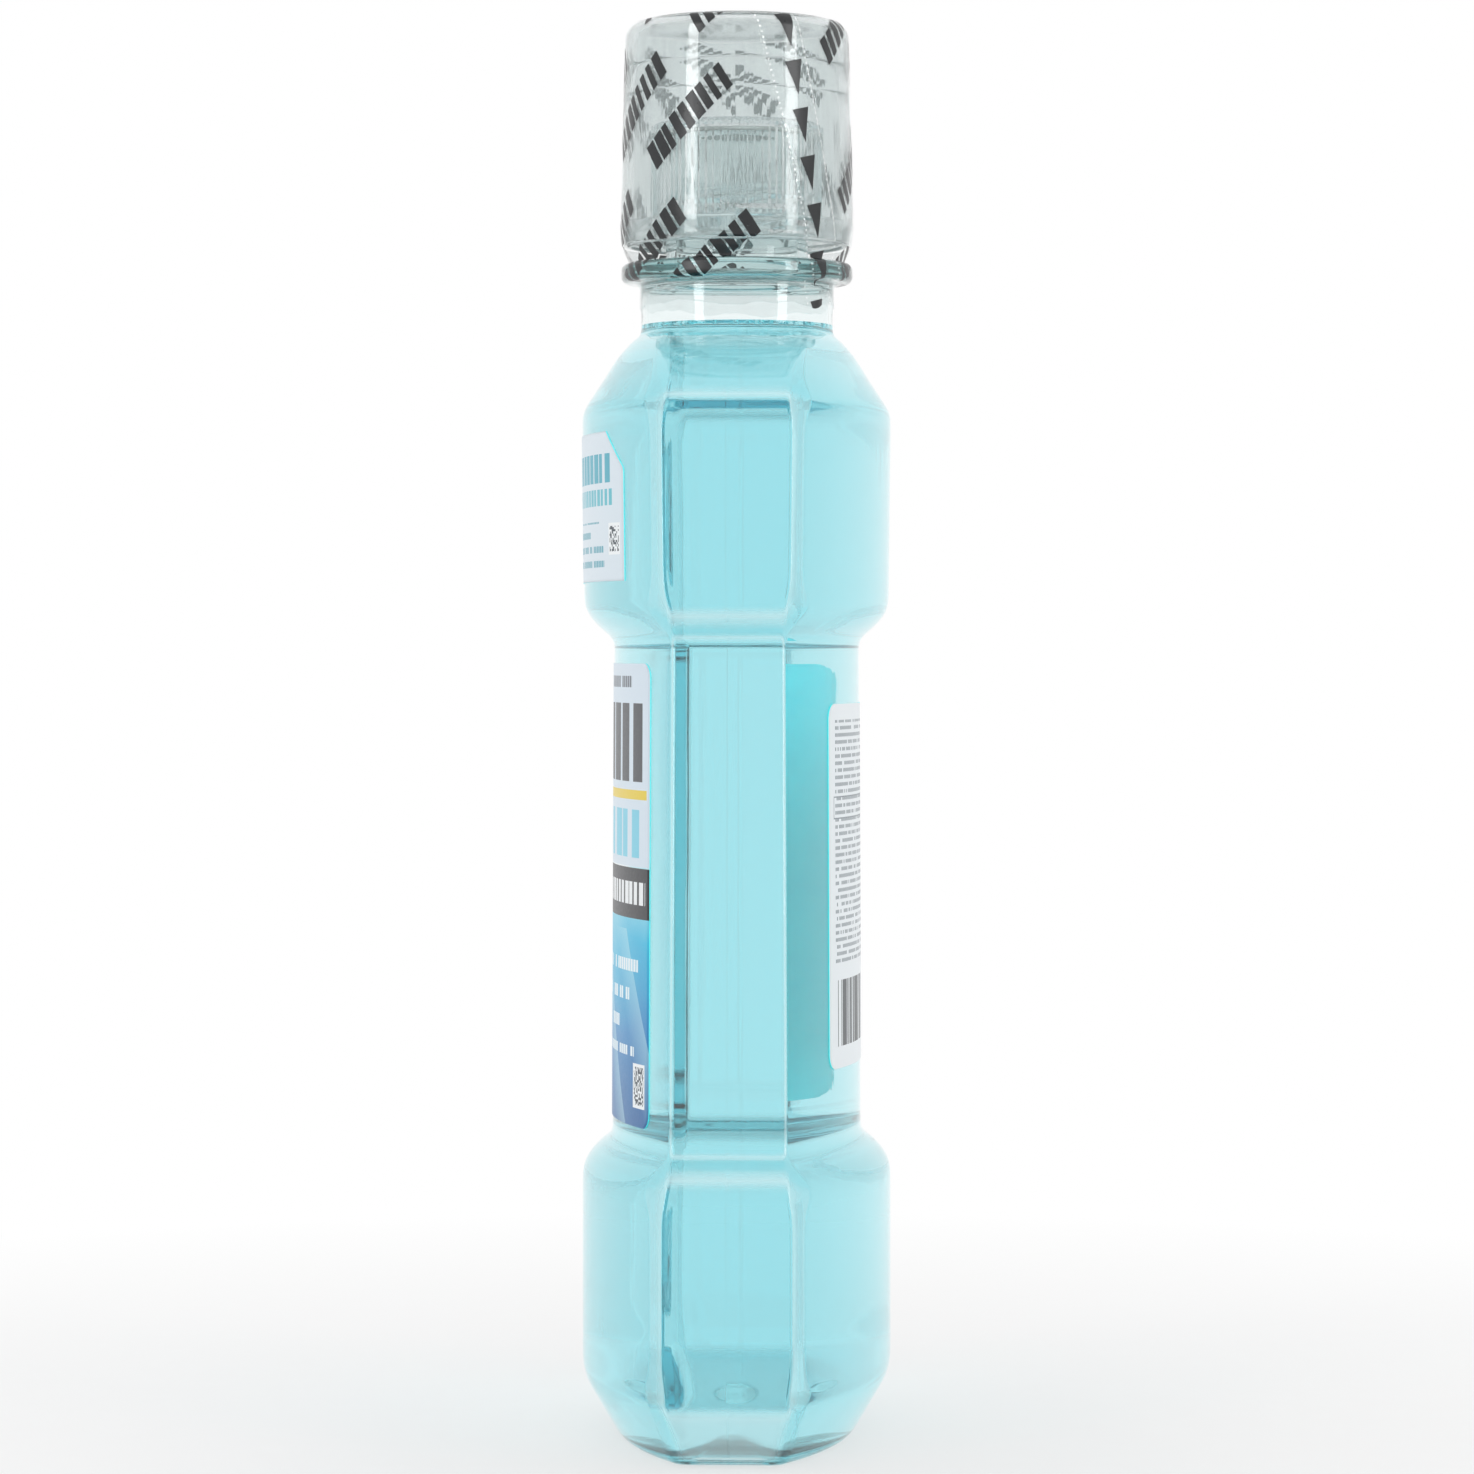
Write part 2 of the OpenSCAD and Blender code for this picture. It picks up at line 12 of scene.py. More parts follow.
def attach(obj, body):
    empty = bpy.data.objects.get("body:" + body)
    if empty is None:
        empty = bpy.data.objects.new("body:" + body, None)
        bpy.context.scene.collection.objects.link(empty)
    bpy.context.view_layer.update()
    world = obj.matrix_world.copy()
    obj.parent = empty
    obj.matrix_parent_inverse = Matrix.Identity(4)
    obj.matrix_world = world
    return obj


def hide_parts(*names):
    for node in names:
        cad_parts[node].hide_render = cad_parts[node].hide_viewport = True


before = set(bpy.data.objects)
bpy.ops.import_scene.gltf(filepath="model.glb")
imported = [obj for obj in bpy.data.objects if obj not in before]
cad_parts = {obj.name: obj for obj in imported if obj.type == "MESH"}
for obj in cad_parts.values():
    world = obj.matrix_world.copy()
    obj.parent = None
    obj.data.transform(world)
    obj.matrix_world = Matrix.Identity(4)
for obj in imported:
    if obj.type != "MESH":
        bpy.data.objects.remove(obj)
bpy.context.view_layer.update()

# Sizes are the CAD model's own, in millimetres, and meshes are made in metres
MM = 0.001
BLOCK_W, WAIST_W, FOOT_W = 90, 80, 72
UPPER_TOP_D, UPPER_LOW_D, LOWER_D = 50.3, 49.6, 50.2
WAIST_TOP_D, WAIST_LOW_D, FOOT_D = 39.8, 40.4, 37.4
BLOCK_BULGE, WAIST_BULGE = 14.4, 11.3
# How far in each upright corner starts: a slope of 45 degrees on the blocks and an arc on
# the waist. It widens near the folds, so that each flat side facet ends in round corners
BLOCK_SLOPE, WAIST_SLOPE, FOLD_SLOPE, EDGE_R = 1.9, 0.6, 3.6, 0.8
FOOT_FACET_W, FOOT_EDGE_R, LAND_W = 16, 0.5, 4
PUSH_UP_H, PUSH_UP_RIM_W, PUSH_UP_SHARE = 4.8, 3, 0.62
WALL = 0.7
FOOT_Z, LOWER_TOP_Z, WAIST_Z, WAIST_TOP_Z = 12.8, 42.6, 48.8, 129.0
UPPER_Z, UPPER_TOP_Z, NECK_Z = 134.8, 165.4, 179.0
RING_Z, RING_TOP_Z, MOUTH_Z = 187.2, 190.2, 211.0
NECK_R, RING_R, FINISH_R, BORE_R = 15.7, 18.8, 11.6, 10.0
THREAD_Z, THREAD_PITCH, THREAD_LAPS, THREAD_OUT = RING_TOP_Z + 7, 4, 1.75, 0.8
FILL_Z, LIQUID_OVERLAP = 179.3, 0.3
CUP_Z, CUP_WIDE_Z, CUP_ROUND_Z, CUP_TOP_Z = 193.0, 196.6, 226.8, 229.8
CUP_R, CUP_TOP_R, CUP_WALL = 18.85, 18.1, 1.2
FILM_R = 19.0
STRIP_TURN, STRIP_LEAN, STRIP_W, STRIP_GAP = radians(36), radians(13), 7, 0.15
SEAM_DEPTH = 0.06


def mix(a, b, share):
    return a + (b - a) * share


def mixed(one, two, share):
    return [mix(a, b, share) for a, b in zip(one, two)]


def within(value, low=0, high=1):
    return min(max(value, low), high)


# ---- Working by hand: picking, extruding, spinning

def pick(*pieces):
    """Selects these pieces alone. The first one is the active one."""
    bpy.ops.object.select_all(action="DESELECT")
    for piece in pieces:
        piece.select_set(True)
    bpy.context.view_layer.objects.active = pieces[0]


def twin(piece):
    """A copy of a piece with its own mesh."""
    copy = piece.copy()
    copy.data = piece.data.copy()
    bpy.context.scene.collection.objects.link(copy)
    return copy


def named(name):
    piece = bpy.context.object
    piece.name = piece.data.name = name
    return piece


def edit(piece):
    bpy.context.view_layer.objects.active = piece
    bpy.ops.object.mode_set(mode="EDIT")
    return bmesh.from_edit_mesh(piece.data)


def leave_edit(piece):
    bmesh.update_edit_mesh(piece.data)
    bpy.ops.object.mode_set(mode="OBJECT")


def select_all():
    bpy.ops.mesh.select_all(action="SELECT")


def smooth_skin(piece):
    """Turns every face of an open mesh outwards, shades it smooth and closes the mesh."""
    select_all()
    bpy.ops.mesh.normals_make_consistent(inside=False)
    bpy.ops.mesh.faces_shade_smooth()
    leave_edit(piece)
    return piece


def close_pole(piece, ring):
    """Fills one end ring of a loft with a fan round its middle."""
    bpy.ops.mesh.select_all(action="DESELECT")
    mesh = edit(piece)
    row = mesh.verts.layers.int["row"]
    for vert in mesh.verts:
        vert.select = vert[row] == ring and len(vert.link_faces) > 0
    mesh.select_flush(True)
    bpy.ops.mesh.edge_face_add()
    bpy.ops.mesh.poke()


def extruded(rings, first):
    """A circle is extruded from ring to ring, and its points go to each ring's places."""
    count = len(rings[0])
    bpy.ops.mesh.primitive_circle_add(vertices=count)
    piece = named("ring_strip")
    mesh = edit(piece)
    for layer in ("turn", "row"):
        mesh.verts.layers.int.new(layer)
    for k, ring in enumerate(rings):
        if k:
            bpy.ops.mesh.extrude_region()
            mesh = edit(piece)
        turn, row = mesh.verts.layers.int["turn"], mesh.verts.layers.int["row"]
        mesh.verts.ensure_lookup_table()
        for i, vert in enumerate(mesh.verts[-count:]):
            if k == 0:
                vert[turn] = i
            vert.co = Vector(ring[vert[turn]]) * MM
            vert[row] = first + k
    leave_edit(piece)
    return piece


RINGS_AT_ONCE = 24


def loft(name, rings, closed=True):
    """A skin through rings of points, extruded some rings at a time and then joined.
    closed fills both ends."""
    strips = [extruded(rings[k:k + RINGS_AT_ONCE + 1], k)
        for k in range(0, len(rings) - 1, RINGS_AT_ONCE)]
    pick(*strips)
    bpy.ops.object.join()
    piece = named(name)
    edit(piece)
    select_all()
    bpy.ops.mesh.remove_doubles(threshold=1e-7)
    if closed:
        close_pole(piece, len(rings) - 1)
        close_pole(piece, 0)
    return smooth_skin(piece)


DOUBLINGS = 4


def turned(name, outline, sector_steps):
    """A closed outline of [radius, height], spun through a sixteenth of a turn round the
    bottle's axis and then doubled four times."""
    bpy.ops.mesh.primitive_circle_add(vertices=len(outline))
    piece = named(name)
    mesh = edit(piece)
    for vert, (r, z) in zip(mesh.verts, outline):
        vert.co = Vector((r, 0, z)) * MM
    bmesh.update_edit_mesh(piece.data)
    sector = 2 * pi / 2 ** DOUBLINGS
    select_all()
    bpy.ops.mesh.spin(steps=sector_steps, angle=sector, center=(0, 0, 0), axis=(0, 0, 1))
    for k in range(DOUBLINGS):
        select_all()
        bpy.ops.mesh.duplicate()
        bpy.ops.transform.rotate(value=sector * 2 ** k, orient_axis="Z", center_override=(0, 0, 0))
    select_all()
    bpy.ops.mesh.remove_doubles(threshold=2e-6)
    bpy.ops.mesh.delete_loose(use_verts=True, use_edges=True, use_faces=False)
    return smooth_skin(piece)


def thicken(piece, thickness, **values):
    """Gives a sheet its thickness, outwards."""
    pick(piece)
    modifier = piece.modifiers.new("solidify", "SOLIDIFY")
    modifier.thickness, modifier.offset = thickness * MM, 1
    for key, value in values.items():
        setattr(modifier, key, value)
    bpy.ops.object.modifier_apply(modifier=modifier.name)


def finished(piece, degrees, push=lambda r, turn, z: 0):
    """Moves each point away from the bottle's axis by push(radius, turn, height), and then
    shades smooth up to an angle."""
    mesh = edit(piece)
    for vert in mesh.verts:
        r, z = hypot(vert.co.x, vert.co.y) / MM, vert.co.z / MM
        grow = 1 + push(r, atan2(vert.co.y, vert.co.x), z) / max(r, 1)
        vert.co.xy *= grow
    leave_edit(piece)
    pick(piece)
    bpy.ops.object.shade_smooth_by_angle(angle=radians(degrees))
    return piece


def dress(piece, materials, body, slot, *nodes):
    """Gives a piece its materials, its body and the CAD nodes that it stands for. The slot is not
    used.
    """
    piece.data.materials.clear()
    for material in materials:
        piece.data.materials.append(material)
    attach(piece, body)
    if nodes:
        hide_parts(*nodes)


def fill_in(line, step):
    """Adds points along a line's long parts, so that its faces stay short."""
    points = []
    for one, two in zip(line, line[1:]):
        count = max(1, ceil(dist(one, two) / step))
        if one[0] == two[0] == 0:
            count = 1
        points += [mixed(one, two, i / count) for i in range(count)]
    return points


def lengths(line):
    """How far along a line each of its points lies, by their first two numbers."""
    along = [0]
    for one, two in zip(line, line[1:]):
        along.append(along[-1] + dist(one[:2], two[:2]))
    return along


def arc(r, z, size, start, end, steps=6):
    """Points on a quarter round of an outline, by angle in degrees."""
    turns = [radians(mix(start, end, i / steps)) for i in range(steps + 1)]
    return [(r + size * cos(t), z + size * sin(t)) for t in turns]


# ---- The blown body's shape

# A level is height, half width, half depth, half facet, corner size, roundness and how many
# walls the inner skin lies above the outer one
FACET_SHARES = [0, 0.014, 0.035, 0.14, 0.27, 0.4, 0.52, 0.64, 0.76, 0.88, 1]
CORNER_STEPS, FRONT_STEPS, STEP_STEPS = 7, 15, 6
NECK_FACET_SHARE, NECK_CORNER_SHARE = 0.42, 0.55
LOWER_FACET = LOWER_D / 2 - BLOCK_BULGE
UPPER_FACET = UPPER_TOP_D / 2 - BLOCK_BULGE
SKIN_R = NECK_R - WALL / 8
# The taper above the foot: shares of its height, of the way out and of the wider corner
TAPER_SHARES = [(0.04, 0.07, 0), (0.6, 0.73, 0), (0.73, 0.88, 0.15), (0.86, 0.97, 0.45), (1, 1, 1)]
# Shares of the shoulder's height, of the way in along the width and along the depth, of
# roundness and of the wider corner
SHOULDER_SHARES = [
    (0, 0, 0, 0, 1), (0.05, 0.006, 0.02, 0, 0.9), (0.1, 0.02, 0.065, 0, 0.7),
    (0.2, 0.07, 0.155, 0, 0.3), (0.3, 0.125, 0.25, 0, 0.1), (0.4, 0.2, 0.345, 0, 0),
    (0.55, 0.33, 0.475, 0, 0), (0.7, 0.5, 0.61, 0, 0), (0.85, 0.73, 0.79, 0.1, 0),
    (0.95, 0.93, 0.945, 0.6, 0), (1, 1, 1, 1, 0)]
# How far a side facet's round corners reach: distance from the fold, share of the rounding
FACET_ENDS = [(0.7, 0.62), (1.6, 0.32), (3.2, 0.08), (5, 0)]
# Where a quarter's points lie on a round ring, as shares of a quarter turn
RING_TURNS = [s * NECK_FACET_SHARE for s in FACET_SHARES]
RING_TURNS += [mix(NECK_FACET_SHARE, NECK_CORNER_SHARE, i / CORNER_STEPS)
    for i in range(1, CORNER_STEPS + 1)]
RING_TURNS += [mix(NECK_CORNER_SHARE, 1, i / FRONT_STEPS) for i in range(1, FRONT_STEPS + 1)]


def fold_corner(share):
    return mix(BLOCK_SLOPE, FOLD_SLOPE, share)


def base_level(z, inset):
    small = 1 - inset / (FOOT_D / 2)
    return [z, FOOT_W / 2 - inset, FOOT_D / 2 - inset, FOOT_FACET_W / 2 * small,
        BLOCK_SLOPE / 2 * small, 0, 2]


def foot_level(high, out, fold):
    return [FOOT_Z * high, mix(FOOT_W, BLOCK_W, out) / 2, mix(FOOT_D, LOWER_D, out) / 2,
        mix(FOOT_FACET_W / 2, LOWER_FACET, out), fold_corner(fold), 0, 1 - high]


def block_levels(low, high, low_d, high_d):
    def level(z, share):
        half_d = mix(low_d, high_d, (z - low) / (high - low)) / 2
        return [z, BLOCK_W / 2, half_d, half_d - BLOCK_BULGE, fold_corner(share), 0, 0]

    return ([level(low + off, share) for off, share in FACET_ENDS]
        + [level(high - off, share) for off, share in reversed(FACET_ENDS)])


def step_level(z, block_d, waist_d, way, rise):
    depth = mix(block_d, waist_d, way) / 2
    return [z, mix(BLOCK_W, WAIST_W, way) / 2, depth, depth - mix(BLOCK_BULGE, WAIST_BULGE, way),
        mix(FOLD_SLOPE, WAIST_SLOPE, min(1, way * 1.6)), 0, rise]


def shoulder_level(high, narrow, shallow, roundness, fold):
    return [mix(UPPER_TOP_Z, NECK_Z, high), mix(BLOCK_W / 2, SKIN_R, narrow),
        mix(UPPER_TOP_D / 2, SKIN_R, shallow), UPPER_FACET, fold_corner(fold), roundness,
        roundness - 1]


def body_levels():
    levels = [base_level(PUSH_UP_H, FOOT_D / 2 * PUSH_UP_SHARE),
        base_level(PUSH_UP_H * 2 / 3, FOOT_EDGE_R + LAND_W + PUSH_UP_RIM_W),
        base_level(0, FOOT_EDGE_R + LAND_W), base_level(0, FOOT_EDGE_R)]
    levels += [foot_level(*shares) for shares in TAPER_SHARES]
    levels += block_levels(FOOT_Z, LOWER_TOP_Z, LOWER_D, LOWER_D)
    steps = [i / STEP_STEPS for i in range(STEP_STEPS + 1)]
    levels += [step_level(mix(LOWER_TOP_Z, WAIST_Z, s), LOWER_D, WAIST_LOW_D, s ** 2, -s * (1 - s))
        for s in steps]
    levels += [step_level(mix(UPPER_Z, WAIST_TOP_Z, s), UPPER_LOW_D, WAIST_TOP_D, s ** 1.65,
        s * (1 - s)) for s in reversed(steps)]
    levels += block_levels(UPPER_Z, UPPER_TOP_Z, UPPER_LOW_D, UPPER_TOP_D)
    levels += [shoulder_level(*shares) for shares in SHOULDER_SHARES]
    return levels + [[NECK_Z + 3, SKIN_R, SKIN_R, UPPER_FACET, BLOCK_SLOPE, 1, 0]]


def eased(levels, step, reach):
    """The levels taken every step along the profile, each the mean of its neighbourhood."""
    along = lengths(levels)

    def at(s):
        s = within(s, 0, along[-1])
        k = next(i for i in range(1, len(along)) if s <= along[i] + 1e-9)
        share = (s - along[k - 1]) / max(along[k] - along[k - 1], 1e-9)
        return mixed(levels[k - 1], levels[k], share)

    weights = [1, 2, 3, 4, 3, 2, 1]
    half = len(weights) // 2
    result = []
    count = round(along[-1] / step)
    for i in range(count + 1):
        s = along[-1] * i / count
        near = min(reach, s, along[-1] - s)
        rows = [at(s + near * (j - half) / half) for j in range(len(weights))]
        result.append([sum(w * value for w, value in zip(weights, column)) / sum(weights)
            for column in zip(*rows)])
    return result


def thinned(levels, most, close):
    """Leaves out the levels that lie on the straight between two kept ones."""
    kept, start = [levels[0]], 0
    for end in range(2, len(levels)):
        one, two = levels[start], levels[end]
        worst = max(abs(value - mix(a, b, (k - start) / (end - start)))
            for k in range(start + 1, end) for value, a, b in zip(levels[k], one, two))
        if worst > close or dist(one[:2], two[:2]) > most:
            start = end - 1
            kept.append(levels[start])
    return kept + [levels[-1]]


def front_r(a, bulge):
    return (a * a + bulge * bulge) / (2 * bulge)


def oval(a, b):
    return [(a * cos(pi / 2 * s), b * sin(pi / 2 * s)) for s in RING_TURNS]


def quarter(level, inset):
    """A quarter of a level's outline: the flat side facet with half of the mould's parting
    line, the corner and the bowed front."""
    _, half_w, half_d, facet, corner, roundness, _ = level
    a, b = half_w - inset, half_d - inset
    big = front_r(a, b - max(facet - inset * 0.4, facet / 2))
    size = max(corner - inset * 0.35, corner / 2)
    end_x = a - size
    end_y = b - big + sqrt(big ** 2 - end_x ** 2)
    lean = atan2(end_y - b + big, end_x)
    # A block's corner: a small round, and then a slope up to the front
    small = min(EDGE_R, size * 0.4)
    slope_y = end_y - size - small * tan(pi / 8)
    sloped = [(a - small + small * cos(t), slope_y + small * sin(t))
        for t in (pi / 12, pi / 6, pi / 4)]
    last = sloped[-1]
    sloped += [mixed(last, (end_x, end_y), share) for share in (0.5, 0.9, 1)]
    # The waist's corner: one arc
    wide = size / (1 - cos(lean))
    turns = [lean * i / (CORNER_STEPS - 1) for i in range(1, CORNER_STEPS)]
    rounded = [(a - wide + wide * cos(t), end_y + wide * (sin(t) - sin(lean))) for t in turns]
    arced = within((BLOCK_W - 2 * half_w) / (BLOCK_W - WAIST_W))
    start = mix(slope_y, end_y - wide * sin(lean), arced)
    points = [(a - SEAM_DEPTH * (i == 0) - SEAM_DEPTH / 3 * (i == 1), start * share)
        for i, share in enumerate(FACET_SHARES)]
    points += [mixed(p, q, arced) for p, q in zip(sloped, rounded)]
    front_turn = lean + 0.3 / big
    points += [(big * cos(t), b - big + big * sin(t))
        for t in (mix(front_turn, pi / 2, i / FRONT_STEPS) for i in range(FRONT_STEPS + 1))]
    return [mixed(p, q, roundness) for p, q in zip(points, oval(a, b))]


def all_round(points, z):
    """A whole ring from a quarter of it."""
    n = len(points) - 1
    return ([(x, y, z) for x, y in points[:n]] + [(-x, y, z) for x, y in points[n:0:-1]]
        + [(-x, -y, z) for x, y in points[:n]] + [(x, -y, z) for x, y in points[n:0:-1]])


def outline(level, inset):
    return all_round(quarter(level, inset), level[0] + level[6] * inset)


def round_ring(r, z, shape=lambda turn, z: 0):
    """A round ring at a height; shape(turn, z) adds to its radius."""
    ring = all_round(oval(r, r), z)
    grow = [1 + shape(atan2(y, x), z) / r for x, y, z in ring]
    return [(x * size, y * size, z) for (x, y, z), size in zip(ring, grow)]


def round_rings(line):
    return [round_ring(r, z) for r, z in line]


def neck_thread(turn, z):
    """How far the neck's right-hand thread stands out at a place."""
    best = 0
    for lap in range(-1, 3):
        laps = turn / (2 * pi) + lap
        if 0 <= laps <= THREAD_LAPS:
            fade = min(1, (laps + 0.04) * 8, (THREAD_LAPS + 0.04 - laps) * 8)
            off = abs(z - THREAD_Z - THREAD_PITCH * laps)
            best = max(best, THREAD_OUT * fade * within((0.85 - off) / 0.4))
    return best


LEVELS = thinned(eased(body_levels(), 0.5, 1.7), 10, 0.012)
# The dome in the push-up: how far out from its middle, as a share, and how high
DOME = [(0.02, 2.8), (0.25, 2.6), (0.5, 2.1), (0.75, 1.15), (0.9, 0.45)]
# The liquid climbs the wall by a small meniscus: distance from the wall, rise
MENISCUS = [(0, 0.5), (0, 0.95), (0.5, 0.75), (0.9, 0.4), (1.6, 0.12), (3, 0)]


def base_cap(inset):
    """Rings from the middle of the push-up to the start of the profile."""
    first = outline(LEVELS[0], inset)
    return [[(x * share, y * share, z + lift) for x, y, z in first] for share, lift in DOME]


def bottle_shell():
    """Up the outside over the support ring and the thread, and down the inside."""
    neck_r = NECK_R - 0.04
    inner_r = neck_r - WALL
    rings = base_cap(0) + [outline(level, 0) for level in LEVELS]
    rings += round_rings([(neck_r, z) for z in (182.6, 183.5, 184.5, 185.5, 186.3)]
        + arc(neck_r + 0.7, RING_Z - 0.7, 0.7, 180, 90, 4) + arc(RING_R - 1, RING_Z + 1, 1, -90, 0)
        + arc(RING_R - 1, RING_TOP_Z - 1, 1, 0, 90)
        + arc(FINISH_R + 0.5, RING_TOP_Z + 0.5, 0.5, 270, 180, 4))
    z = RING_TOP_Z + 1
    while z < MOUTH_Z - 1:
        rings.append(round_ring(FINISH_R, z, neck_thread))
        z += 0.32
    rings += round_rings(arc(FINISH_R - 0.5, MOUTH_Z - 0.5, 0.5, 0, 90, 4)
        + arc(BORE_R + 0.4, MOUTH_Z - 0.4, 0.4, 90, 180, 4)
        + [(BORE_R, z) for z in (208, 204, 200, 196, 192, 189.5)]
        + arc(BORE_R + 1.2, RING_Z + 1.2, 1.2, 180, 270, 4)
        + arc(inner_r - 1.6, RING_Z - 1.6, 1.6, 90, 0, 5) + [(inner_r, 184.4), (inner_r, 183.2)])
    rings += [outline(level, WALL) for level in reversed(LEVELS)]
    return loft("clear_bottle_body", rings + list(reversed(base_cap(WALL))))


def mark_highlight_ridges(piece):
    """Writes how far each outer point lies on an upright corner, as the mask of the wall's painted
    highlight lines.
    """
    mesh = piece.data
    highlight_ridge = mesh.attributes.new("painted_corner_highlight", "FLOAT", "POINT")
    for vert, mark in zip(mesh.vertices, highlight_ridge.data):
        outer = vert.normal.x * vert.co.x + vert.normal.y * vert.co.y > 0
        below = vert.co.z < (NECK_Z - 3) * MM
        mark.value = max(0, 1 - abs(abs(vert.normal.x) - 0.8) / 0.15) if outer and below else 0


def liquid_body():
    """The liquid reaches a little into the wall, so that no air shows between them."""
    inset = WALL - LIQUID_OVERLAP
    r = SKIN_R - inset
    rings = base_cap(inset) + [outline(level, inset) for level in LEVELS if level[0] < FILL_Z]
    rings += round_rings([(r - off, FILL_Z + rise) for off, rise in MENISCUS]
        + [(r * 0.5, FILL_Z), (r * 0.02, FILL_Z)])
    return loft("blue_green_liquid", rings)


# ---- Shaders by short lines

class Value:
    """What a node gives. Signs between such values put math nodes."""

    def __init__(self, desk, socket):
        self.desk, self.socket = desk, socket

    def calc(self, operation, *others):
        return self.desk.calc(operation, self, *others)

    def __rsub__(self, other):
        return self.desk.calc("SUBTRACT", other, self)

    def between(self, low, high):
        return (self > low) * (self < high)


for name, operation in (("__add__", "ADD"), ("__sub__", "SUBTRACT"), ("__mul__", "MULTIPLY"),
        ("__truediv__", "DIVIDE"), ("__gt__", "GREATER_THAN"), ("__lt__", "LESS_THAN"),
        ("floor", "FLOOR"), ("fract", "FRACT")):
    setattr(Value, name, functools.partialmethod(Value.calc, operation))


class Outputs:
    def __init__(self, desk, node):
        self.desk, self.node = desk, node

    def __getitem__(self, key):
        return Value(self.desk, self.node.outputs[key])


class Desk:
    def __init__(self, tree, material=None):
        self.tree, self.material = tree, material

    def put(self, kind, **settings):
        node = self.tree.nodes.new(kind)
        for key, value in settings.items():
            setattr(node, key, value)
        return node

    def join(self, value, socket):
        if isinstance(value, Value):
            self.tree.links.new(value.socket, socket)
        else:
            socket.default_value = value

    def fill(self, node, *values, **inputs):
        """Fills a node's inputs, in their order or by name, and gives its outputs."""
        for value, socket in zip(values, node.inputs):
            self.join(value, socket)
        for key, value in inputs.items():
            self.join(value, node.inputs[key.replace("_", " ")])
        return Outputs(self, node)

    def make(self, kind, *values, **inputs):
        return self.fill(self.put("ShaderNode" + kind), *values, **inputs)

    def calc(self, operation, *values):
        return self.fill(self.put("ShaderNodeMath", operation=operation), *values)[0]

    def box(self, x, y, x0, x1, y0, y1):
        return x.between(x0, x1) * y.between(y0, y1)

    def paint(self, under, over, mask):
        node = self.put("ShaderNodeMix", data_type="RGBA")
        return self.fill(node, Factor=mask, A=under, B=over)["Result"]

    def layers(self, colour, *layers):
        """Each layer is a colour and the mask through which it covers what is there."""
        for over, mask in layers:
            colour = self.paint(colour, (*over, 1), mask)
        return colour

    def spread(self, value, low, high, to_low=0.0, to_high=1.0):
        return self.make("MapRange", value, low, high, to_low, to_high)[0]

    def sheet(self, name):
        """The two coordinates of a UV map that is drawn in millimetres."""
        place = self.fill(self.put("ShaderNodeUVMap", uv_map=name))[0]
        parts = self.make("SeparateXYZ", place)
        return parts[0], parts[1]

    def dots(self, x, y):
        """A random number for each whole-numbered place."""
        node = self.put("ShaderNodeTexWhiteNoise", noise_dimensions="2D")
        return self.fill(node, Vector=self.make("CombineXYZ", x, y)[0])["Value"]

    def place(self):
        return self.make("TexCoord")["Object"]

    def cloud(self, scale, stretch=(1, 1, 1), detail=2.0):
        """Noise over the piece's own coordinates."""
        place = self.make("Mapping", Vector=self.place(), Scale=stretch)[0]
        return self.make("TexNoise", Vector=place, Scale=scale, Detail=detail)[0]

    def bump(self, height, strength, distance):
        return self.make("Bump", Strength=strength, Distance=distance, Height=height)[0]

    def group(self, tree, *values):
        return self.fill(self.put("ShaderNodeGroup", node_tree=tree), *values)

    def shader(self, colour, rough, bend=1.5, **values):
        return self.make("BsdfPrincipled", Base_Color=colour, Roughness=rough, IOR=bend,
            **values)[0]

    def glass(self, tint, rough, bend, normal):
        return self.shader((*tint, 1), rough, bend, Transmission_Weight=1.0, Normal=normal)

    def transparent(self, tint):
        return self.make("BsdfTransparent", (*tint, 1))[0]

    def blend(self, share, one, two):
        return self.make("MixShader", share, one, two)[0]

    def lamplit(self, shader, tint):
        """Rays from lamps pass a clear wall with only its tint."""
        lamp = self.make("LightPath")["Is Shadow Ray"]
        return self.blend(lamp, shader, self.transparent(tint))

    def absorb(self, colour, density):
        return self.make("VolumeAbsorption", (*colour, 1), density)[0]

    def coat(self, *shaders):
        """Ends a material with its surface, and its volume if it has one."""
        self.make("OutputMaterial", *shaders)
        return self.material


def material_desk(name):
    material = bpy.data.materials.new(name)
    material.use_nodes = True
    material.node_tree.nodes.clear()
    return Desk(material.node_tree, material)


# ---- The shader groups

def group_desk(name, inputs, outputs):
    """The desk of a new shader group, with its inputs and its output node."""
    tree = bpy.data.node_groups.new(name, "ShaderNodeTree")
    for way, labels in (("INPUT", inputs), ("OUTPUT", outputs)):
        for label in labels:
            tree.interface.new_socket(label, in_out=way, socket_type="NodeSocketFloat")
    desk = Desk(tree)
    return desk, Outputs(desk, desk.put("NodeGroupInput")), desk.put("NodeGroupOutput")


def text_rows():
    """Rows of short grey bars that stand for small print, with ragged line ends."""
    desk, source, sink = group_desk(
        "small_print_rows", ["Across", "Up", "Pitch", "Height", "Letter", "Width"], ["Ink"])
    across = source["Across"]
    line, cell = source["Up"] / source["Pitch"], across / source["Letter"]
    row = line.floor()
    stroke = (line.fract() < source["Height"]) * (cell.fract() < 0.78)
    word = desk.dots(cell.floor(), row) > 0.17
    line_end = desk.spread(desk.dots(row, 91), 0, 1, 0.62, 1)
    desk.fill(sink, stroke * word * across.between(0, source["Width"] * line_end))
    return desk.tree


def block_word():
    """A bold word's place filled with plain bars of several widths."""
    desk, source, sink = group_desk(
        "bold_bar_row", ["Across", "Up", "Width", "Height", "Block", "Kind"], ["Ink"])
    cell = source["Across"] / source["Block"]
    width = desk.dots(cell.floor(), source["Kind"])
    bar = cell.fract() < desk.spread(width, 0, 1, 0.5, 0.88)
    desk.fill(sink,
        bar * desk.box(source["Across"], source["Up"], 0, source["Width"], 0, source["Height"]))
    return desk.tree


